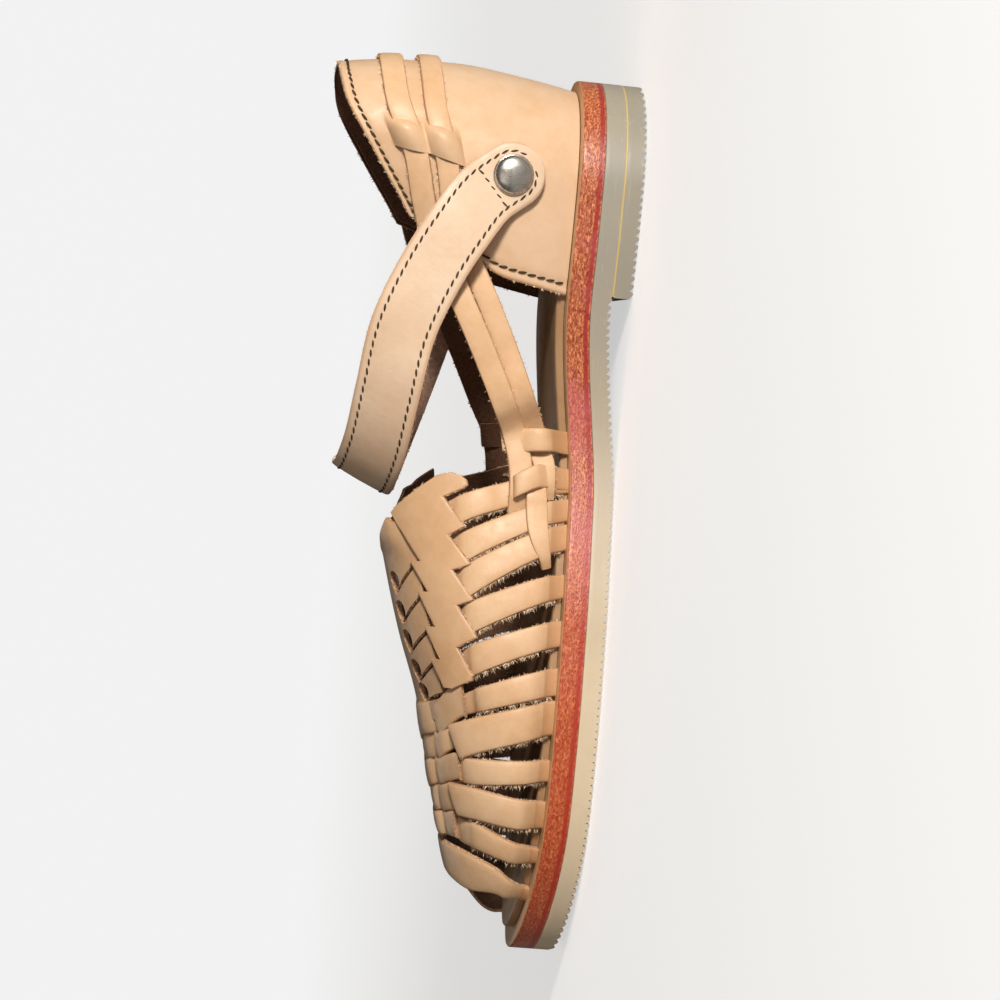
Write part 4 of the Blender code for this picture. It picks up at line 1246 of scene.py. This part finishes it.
def strap_edges(side, rows, forward, count=60, low=0.0):
    """Points and outward ways along the front or back edge of a cross strap."""
    girth, back, front, lift = smooth_rows(rows, count)[int(low * count):].T
    place = front if forward else back
    girth = girth * side
    lift = foot_lift(place, girth, lift + 0.0008)
    return edge_line(place, girth, lift, 0.004 if forward else -0.004, 0)


def end_line(rows):
    """Points and outward ways along the slanting free end of a strap on the inner side."""
    girth, back, front, lift = rows[0]
    place = np.linspace(back, front, 16)
    across = -girth - OVER_SLANT * np.linspace(0, 1, 16)
    return edge_line(place, across, foot_lift(place, across, lift) + 0.0012, 0, 0.02)


def build_plates():
    """Upper and lower plate."""
    add_sheets("upper_plate", [upper_plate()], PLATE_LEATHER, "vamp")
    cut_tabs(add_sheets("lower_plate", [lower_plate()], PLATE_LEATHER, "vamp"))


def build_plate_fibres():
    """Fibres of the plates' slotted sides, throat and slits."""
    rims = []
    for side, lift in ((-1, 0.0030), (1, 0.0014)):
        place = np.linspace(0.470, 0.690, 220)
        girth = straight(PLATE_SIDE, "girth", place) * side
        line = vamp_point(place, girth) + vamp_normal(place, girth) * lift
        rims.append((line, unit(vamp_point(place, girth + side * 0.01) - line)))
    girth = np.linspace(-0.60, -0.28, 120)
    place = straight(THROAT, "at", girth)
    line = vamp_point(place, girth) + vamp_normal(place, girth) * 0.0026
    rims.append((line, vamp_point(place - 0.004, girth) - vamp_point(place, girth)))
    tufts("plate_fibres", *zip(*rims), 0.0010, 3000, FIBRES, 5)
    slits = []
    for row in TAB_CUTS[1:]:
        at, across = slit_line(row, np.linspace(0.02, 1, 30))
        line = vamp_point(at - 0.0018, across) + vamp_normal(at, across) * 0.0016
        slits.append((line, unit(vamp_point(at + 0.004, across) - vamp_point(at, across))))
    tufts("slit_fibres", *zip(*slits), 0.0009, 6500, DARK_FIBRES, 7)


def build_straps():
    """Cross straps, toe strap and crest bands with the fibres on their cut edges."""
    straps, front_edges, back_edges = [], [], []
    for number in column(STRAPS, "number"):
        rows = strap_rows(number)
        over = number in OVER_STRAPS
        straps.append(vamp_strap(-1, rows, slant=OVER_SLANT if over else 0.0))
        front_edges.append(strap_edges(-1, rows, True, low=0.25))
        back_edges.append(strap_edges(-1, rows, False, low=0.25))
        if over:
            back_edges.append(end_line(rows))
        if number <= LAST_SLOT_STRAP:
            rows = [(girth, back - FAR_SPARE, front + FAR_SPARE, lift) for girth, back, front, lift in rows]
            straps.append(vamp_strap(1, rows))
            front_edges.append(strap_edges(1, rows, True, low=0.25))
            back_edges.append(strap_edges(1, rows, False, low=0.25))
    straps.append(vamp_strap(1, TOE_STRAP[1:], count=90))
    back_edges += [strap_edges(1, TOE_STRAP[1:], front, count=110) for front in (True, False)]
    for number in column(CREST_BANDS, "number"):
        rows = crest_rows(number)
        straps.append(vamp_strap(1, rows, count=80))
        straps.append(vamp_strap(1, tile_rows(number), thickness=0.0012, count=24))
        back_edges.append(strap_edges(1, rows, True, count=80))
    add_sheets("cross_straps", straps, STRAP_LEATHER, "vamp")
    tufts("strap_fibres", *zip(*front_edges), 0.0021, 10000, FIBRES, 3, spread=0.7)
    tufts("strap_back_fibres", *zip(*back_edges), 0.0008, 2600, FIBRES, 4)


# Heel cup
def top_height(way_round):
    """Height of the cup's top edge over the seat."""
    return along(TOP_LINE, "height", np.abs(way_round)) * COUNTER_HEIGHT


def bridge_hill(way_round, rise):
    """Share of a bridge's lift over the cup: a smooth hill (1 - away^2)^0.8 over each heel strap."""
    hill = np.zeros(np.broadcast(way_round, rise).shape)
    for centre in BAND_RISES:
        away = np.abs(rise - centre) * top_height(way_round) / BRIDGE_HALF_WIDTH
        hill = np.maximum(hill, np.clip(1 - away**2, 0, 1) ** 0.8)
    return hill


def build_cup_wall():
    """Outer wall, with its bridges closed towards the heel and cut open towards the toe."""
    ends = round_at_place(BRIDGE_AT + np.array([-0.6, 0.70]) * BRIDGE_LENGTH, np.mean(BAND_RISES))
    spare = 0.0004 / COUNTER_LENGTH
    half = np.unique(np.concatenate([
        np.linspace(0, ends[0], 30), np.linspace(ends[0] + spare, ends[1] - spare, 12),
        np.linspace(ends[1], 0.985, 26), [0.992, 0.997, 1.0]]))
    way = np.concatenate([-half[:0:-1], half])
    rises = np.unique(np.concatenate([
        np.linspace(0, 0.5, 16), np.linspace(0.5, 0.9, 56), np.linspace(0.9, 0.98, 8),
        [0.988, 0.995, 1.0]]))
    ways, heights = np.meshgrid(way, rises, indexing="ij")
    inside = (np.abs(ways) > ends[0] + spare / 2) & (np.abs(ways) < ends[1] - spare / 2)
    hill = bridge_hill(ways, heights) * inside
    through = np.clip((np.abs(ways) - ends.mean()) / (ends[1] - ends[0]) * 2, -1, 1)
    fall = np.where(through < 0, ease(-1.0, -0.05, through), 1 - 0.30 * np.abs(through) ** 2.2)
    bent = ways + np.sign(ways) * hill * np.clip(through, 0, 1) * 0.006
    normal = cup_normal(bent, heights)
    near = np.minimum((1 - np.abs(ways)) * COUNTER_LENGTH * 1.4, (1 - heights) * COUNTER_HEIGHT)
    drop = 0.0005 * (1 - ease(0, 0.0008, near)) ** 2
    pull = 0.0004 * np.exp(-(((near - SEAM_GROOVE) / 0.0008) ** 2))
    outer = cup_point(bent, heights) + normal * (hill * BRIDGE_LIFT * fall - drop - pull)[..., None]
    points, quads, finish, extra = shell(outer, outer - normal * CUP_WALL, 1 - ease(0, 0.0012, near) * 0.2)
    mid_way = (np.abs(ways[1:, :-1]) + np.abs(ways[:-1, :-1])) / 2
    mid_hill = (hill[1:, :-1] + hill[:-1, :-1] + hill[1:, 1:] + hill[:-1, 1:]) / 4
    jump = np.abs(hill[1:, :-1] - hill[:-1, :-1]) > 0.02
    closed = ~(jump & (np.abs(mid_way - ends[1]) < spare * 1.5) & (mid_hill > 0.05)).ravel()
    keep = np.ones(len(quads), bool)
    keep[:2 * closed.size] = np.tile(closed, 2)
    piece = add_object("heel_cup", points, quads[keep], LEATHER, finish[keep], extra)
    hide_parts("counter")


def build_cup():
    """Outer wall, lining, seams and the fibres of the cut edges."""
    build_cup_wall()
    way, rise = np.meshgrid(np.linspace(-0.985, 0.985, 90), np.linspace(0.0, 0.985, 40), indexing="ij")
    normal = cup_normal(way, rise)
    point = cup_point(way, rise)
    lining = shell(point - normal * 0.0019, point - normal * CUP_WALL, 0 * way)
    add_sheets("cup_lining", [lining], [LINING, LINING, CUT_EDGE], "counter")

    way = np.linspace(-0.985, 0.985, 400)
    lines = [(way, 1 - SEAM_INSET / top_height(way))]
    rise = np.linspace(0.02, 0.94, 120)
    for side in (-1, 1):
        lines.append((np.full_like(rise, side * (1 - SEAM_INSET / (COUNTER_LENGTH * 1.35))), rise))
    seams = []
    for way, rise in lines:
        normal = cup_normal(way, rise)
        seams.append(stitches(cup_point(way, rise) + normal * 0.0001, normal))
    add_threads("cup_stitches", seams)

    edges = []
    rise = np.linspace(0.01, 0.99, 120)
    for side in (-1, 1):
        out = cup_point(np.full_like(rise, side), rise) - cup_point(np.full_like(rise, side * 0.97), rise)
        edges.append((cup_point(np.full_like(rise, side * 0.999), rise), unit(out)))
    way = np.linspace(-0.99, 0.99, 300)
    edges.append((cup_point(way, 0.998), unit(cup_point(way, 1.0) - cup_point(way, 0.97))))
    tufts("cup_fibres", *zip(*edges), 0.0009, 1500, FIBRES, 11)


# Straps round the heel and the side weave
def on_vamp(side, at, girth, lift):
    """Point over the last on one side, followed by its face direction."""
    normal = vamp_normal(np.array(at), np.array(side * girth))
    return np.concatenate([vamp_point(at, side * girth) + normal * lift, normal])


def on_cup(way_round, rise, lift):
    """Point over the heel cup, followed by its face direction."""
    normal = cup_normal(np.array(way_round), np.array(rise))
    return np.concatenate([cup_point(way_round, rise) + normal * lift, normal])


def heel_strap_rows(which, side):
    """Control rows of one strap on one side: along the cup, free to the weave, into the weave."""
    rows = []
    for way in np.append(np.linspace(0.0, 0.95, 14), 1.0):
        rows.append(on_cup(side * way, float(along(BANDS, which, way)), 0.0010))
    for at, height, spread in HEEL_STRAP_FRONT[which]:
        place = at * SOLE_LENGTH
        level = seat_height(place) + height * VAMP_HEIGHT
        point = [side * spread * HEEL_WIDTH + MOVE[0], place + MOVE[1], level]
        rows.append(np.array([*point, side, 0.0, FREE_STRAP_LEAN]))
    return rows + [on_vamp(side, *row) for row in HEEL_STRAP_WEAVE[which]]


def side_edges(rows, widths):
    """Lines and outward ways along both edges of a strap along a path."""
    across = strap_axes(rows)[0]
    return [(rows[:, :3] + across * way * widths[:, None] / 2, across * way) for way in (-1, 1)]


def build_heel_straps():
    """Both straps round the heel with their fibres."""
    edges = []
    for which, width in BAND_WIDTHS.items():
        inner, outer = (heel_strap_rows(which, side) for side in (-1, 1))
        curve = through_points(inner[:0:-1] + outer, 0.0016)
        widths = np.full(len(curve), width)
        part = path_strap(curve, widths, BAND_THICKNESS)
        add_sheets(f"heel_strap_{which}_leather", [part], STRAP_LEATHER, f"heel_strap_{which}")
        edges += side_edges(curve, widths)
    tufts("heel_strap_fibres", *zip(*edges), 0.0010, 1300, FIBRES, 17)


def build_side_weave():
    """Short pieces of the side weave that pass over the lengthwise straps, on both sides."""
    parts = []
    for side in (-1, 1):
        parts += [vamp_strap(side, tile, count=30) for tile in SIDE_TILES]
        strip = [np.append(on_vamp(side, *row[:3]), row[3]) for row in SIDE_STRIP[1:]]
        strip = through_points(strip, 0.0010)
        parts.append(path_strap(strip[:, :6], strip[:, 6], 0.0014))
    add_sheets("side_weave", parts, STRAP_LEATHER, "vamp")


# Ankle strap and snaps
def snap_place(side):
    """Point and outward direction where a snap sits on the cup."""
    height = SNAP_HEIGHT * VAMP_HEIGHT
    way = round_at_place(SNAP_AT * SOLE_LENGTH, height / COUNTER_HEIGHT)
    rise = height / top_height(way)
    return cup_point(side * way, rise), cup_normal(side * way, rise)


def by_snap(side, heading, reaches, lifts):
    """Rows of the ankle strap that lie flat on the cup through a snap, at shares of its width."""
    point, normal = snap_place(side)
    flat = unit(np.asarray(heading) - normal * np.dot(normal, heading))
    return [
        np.concatenate([point + flat * ANKLE_WIDTH * reach + normal * lift, normal])
        for reach, lift in zip(reaches, lifts)]


def ankle_curve():
    """The ankle strap's path from the inner snap over the instep to the outer tail."""
    seat = GAP + ANKLE_THICKNESS / 2
    rows = by_snap(-1, ANKLE_START, (-0.48, 0.0, 0.30, 0.36), (seat, seat, seat, seat + GAP))
    for at, height, spread, lean in ANKLE[1:]:
        place = at * SOLE_LENGTH
        level = seat_height(place) + height * VAMP_HEIGHT
        x = spread * HEEL_WIDTH + np.sign(spread) * BAND_SPARE + MOVE[0]
        turn = math.copysign(math.pi / 2, spread)
        if lean > ANKLE_SIDE_LEAN:
            turn = math.atan2(spread, ANKLE_FRONT_TURN * lean / ANKLE_TOP_LEAN)
        face = unit(np.array([math.sin(turn), math.cos(turn), lean]))
        rows.append(np.concatenate([[x, place + MOVE[1], level], face]))
    rows += by_snap(1, ANKLE_FINISH, (0.36, 0.30, 0.0, -0.34), [seat] * 4)
    for way, height in TAIL:
        rows.append(on_cup(way, height * VAMP_HEIGHT / top_height(way), seat + GAP))
    return through_points(rows, 0.0004)


def build_ankle_strap():
    """Ankle strap: leather and lining with a groove between, round ends and seams."""
    fine = ankle_curve()
    run = distances(fine)
    half = ANKLE_WIDTH / 2
    ends = half * (1 - np.cos(np.linspace(0.12, math.pi / 2, 16)))
    straight_run = run[-1] - 2 * half
    between = half + straight_run * np.linspace(0, 1, int(straight_run / 0.0018))[1:-1]
    at = np.concatenate([ends, between, run[-1] - ends[::-1]])
    curve = read(fine, at, run)
    share = np.clip(np.minimum(at, run[-1] - at) / half, 0, 1)
    widths = ANKLE_WIDTH * np.sqrt(1 - (1 - share) ** 2)
    across, out = strap_axes(curve)
    thick = ANKLE_THICKNESS / 2
    top_rows, low_rows = curve.copy(), curve.copy()
    top_rows[:, :3] += out * (thick / 2 + 0.00006)
    low_rows[:, :3] -= out * (thick / 2 + 0.00002)
    face = path_strap(top_rows, widths, thick, crown=0.00035)
    lining = path_strap(low_rows, widths * 0.985, thick, crown=0.0)
    add_sheets("ankle_strap_leather", [face], ANKLE_LEATHER, "ankle_strap")
    add_sheets("ankle_strap_lining", [lining], [STRAP_LINING, STRAP_LINING, CUT_EDGE], "ankle_strap")

    surface = curve[:, :3] + out * (ANKLE_THICKNESS / 2 + 0.00022)
    seam_half = half - SEAM_INSET
    inside = np.clip((np.minimum(at, run[-1] - at) - SEAM_INSET) / seam_half, 0, 1)
    reach = seam_half * np.sqrt(1 - (1 - inside) ** 2)
    keep = (at > SEAM_INSET) & (at < run[-1] - SEAM_INSET)
    seams = []
    for way in (-1, 1):
        line = surface + across * way * reach[:, None]
        seams.append(stitches(line[keep], out[keep]))
    for where in (CROSS_SEAM_AT, run[-1] - CROSS_SEAM_AT):
        k = int(np.argmin(np.abs(at - where)))
        line = surface[k] + across[k] * np.linspace(-1, 1, 20)[:, None] * seam_half
        seams.append(stitches(line, np.repeat(out[k:k + 1], 20, axis=0)))
    add_threads("ankle_stitches", seams)
    tufts("ankle_fibres", *zip(*side_edges(curve, widths)), 0.0006, 1500, FIBRES, 23)


def turned(name, profile, point, normal):
    """A solid of revolution: a profile of radius and level turned about the outward direction."""
    radius, level = np.asarray(profile, dtype=float).T[:, :, None]
    turns = np.linspace(0, 2 * math.pi, SNAP_SIDES, endpoint=False)
    axes = np.array(Vector(normal).to_track_quat("Z", "Y").to_matrix())
    local = np.stack([radius * np.cos(turns), radius * np.sin(turns), level + 0 * turns], axis=-1)
    points = local @ axes.T + np.asarray(point)
    index = np.arange(level.size * SNAP_SIDES).reshape(-1, SNAP_SIDES)
    following = np.roll(index, -1, axis=1)
    quads = np.stack([index[:-1], following[:-1], following[1:], index[1:]], -1).reshape(-1, 4).tolist()
    faces = quads + [index[0][::-1].tolist(), index[-1].tolist()]
    return add_object(name, points.reshape(-1, 3), faces, [METAL], sharp=50, turn=True)


def build_snaps():
    """Domed caps with a rolled rim, posts and back studs."""
    seat = GAP + ANKLE_THICKNESS + 0.0003
    radius = SNAP_DIAMETER / 2
    roll = 0.0004
    profile = [
        (radius * 0.93 * math.sin(turn), seat + 0.0009 + 0.0020 * math.cos(turn))
        for turn in np.linspace(0.02, math.pi / 2, 14)]
    profile += [
        (radius - roll + roll * math.cos(turn), seat + 0.0005 + roll * math.sin(turn))
        for turn in np.linspace(math.pi / 2, -math.pi / 2, 8)]
    profile += [
        (0.0020, seat - 0.0001), (0.0018, seat - 0.0006), (0.0018, -0.0022), (0.0045, -0.0024),
        (0.0045, -0.0034), (0.0003, -0.0036)]
    for side, label in ((-1, "inner"), (1, "outer")):
        piece = turned(f"snap_cap_{label}", profile, *snap_place(side))
        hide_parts(f"snap_{label}")


# Stage, light and camera
def build_stage():
    """Pale floor that sweeps up behind the shoe and glows softly far behind it."""
    across = np.linspace(-3.0, 3.0, 5)
    turn = np.linspace(0, math.pi / 2, 16)
    run = np.concatenate([[-3.0, 0.0, 1.0], 1.6 + np.sin(turn), [2.6]])[:, None]
    level = np.concatenate([[0.0, 0.0, 0.0], 1.0 - np.cos(turn), [3.5]])[:, None]
    points = np.stack([run + 0 * across, across + 0 * run, level + 0 * across], axis=-1)
    made, n, shader = start_material("pale floor", Roughness=0.9, Specular_IOR_Level=0.1)
    far = n.step(n.axes(n.spot())["X"], 0.10, 1.30)
    seen = n.add("ShaderNodeLightPath").outputs["Is Camera Ray"]
    glow = n.mix(seen, (0, 0, 0), n.mix(far, (0.56, 0.56, 0.56), (0.885, 0.885, 0.885)))
    base = n.mix(far, (0.80, 0.80, 0.80), (0.02, 0.02, 0.02))
    n.into(shader, Base_Color=base, Emission_Color=glow, Emission_Strength=1.0)
    mesh = new_mesh("floor", points.reshape(-1, 3), grid_faces(*points.shape[:2]), [made])
    mesh.shade_smooth()
    floor = in_scene("floor", mesh)


def add_light(name, place, target, size, power, colour):
    """A square soft light aimed at a point."""
    data = bpy.data.lights.new(name, "AREA")
    data.shape = "SQUARE"
    data.size = size
    data.energy = power
    data.color = colour
    light = in_scene(name, data)
    light.location = place
    light.rotation_euler = (Vector(target) - Vector(place)).to_track_quat("-Z", "Y").to_euler()


def build_light():
    """Warm key light low behind the heel, a wide card beside the camera, a back light, a dim sky."""
    add_light("key", (-1.30, -0.98, 0.27), (0, 0, 0.04), 0.26, 26.5, (1.0, 0.965, 0.915))
    add_light("card", (-1.7, 0.30, 0.75), (0, 0, 0.03), 1.1, 2.4, (1.0, 0.95, 0.88))
    add_light("back", (1.1, 0.3, 0.9), (0, 0, 0.03), 0.7, 1.6, (1.0, 0.95, 0.88))
    world = bpy.data.worlds.new("studio")
    bpy.context.scene.world = world
    world.use_nodes = True
    back = world.node_tree.nodes["Background"]
    back.inputs["Color"].default_value = (1.0, 0.94, 0.86, 1.0)
    back.inputs["Strength"].default_value = 0.10
    bpy.context.scene.view_settings.view_transform = "Standard"


def build_camera():
    """Camera at the photo's angle to the shoe: beside the inner side, toe downwards in the picture."""
    azimuth, height, roll = (math.radians(angle) for angle in (VIEW_AZIMUTH, VIEW_HEIGHT, VIEW_ROLL))
    away = Vector((
        math.sin(azimuth) * math.cos(height), -math.cos(azimuth) * math.cos(height), math.sin(height)))
    right = (-away).cross(Vector((0, 0, 1))).normalized()
    up = right.cross(-away)
    turned_right = right * math.cos(roll) + up * math.sin(roll)
    turned_up = -right * math.sin(roll) + up * math.cos(roll)
    data = bpy.data.cameras.new("camera")
    data.sensor_width = 36.0
    data.lens = data.sensor_width * FOCAL_SHARE
    data.shift_x, data.shift_y = VIEW_SHIFT
    data.clip_end = 20.0
    camera = in_scene("camera", data)
    place = Vector(VIEW_AIM) + away * VIEW_DISTANCE
    turned_axes = Matrix((turned_right, turned_up, away)).transposed().to_4x4()
    camera.matrix_world = Matrix.Translation(place) @ turned_axes
    bpy.context.scene.camera = camera


build_camera()
build_light()
build_stage()
build_sole()
build_plates()
build_straps()
build_plate_fibres()
build_cup()
build_heel_straps()
build_side_weave()
build_ankle_strap()
build_snaps()
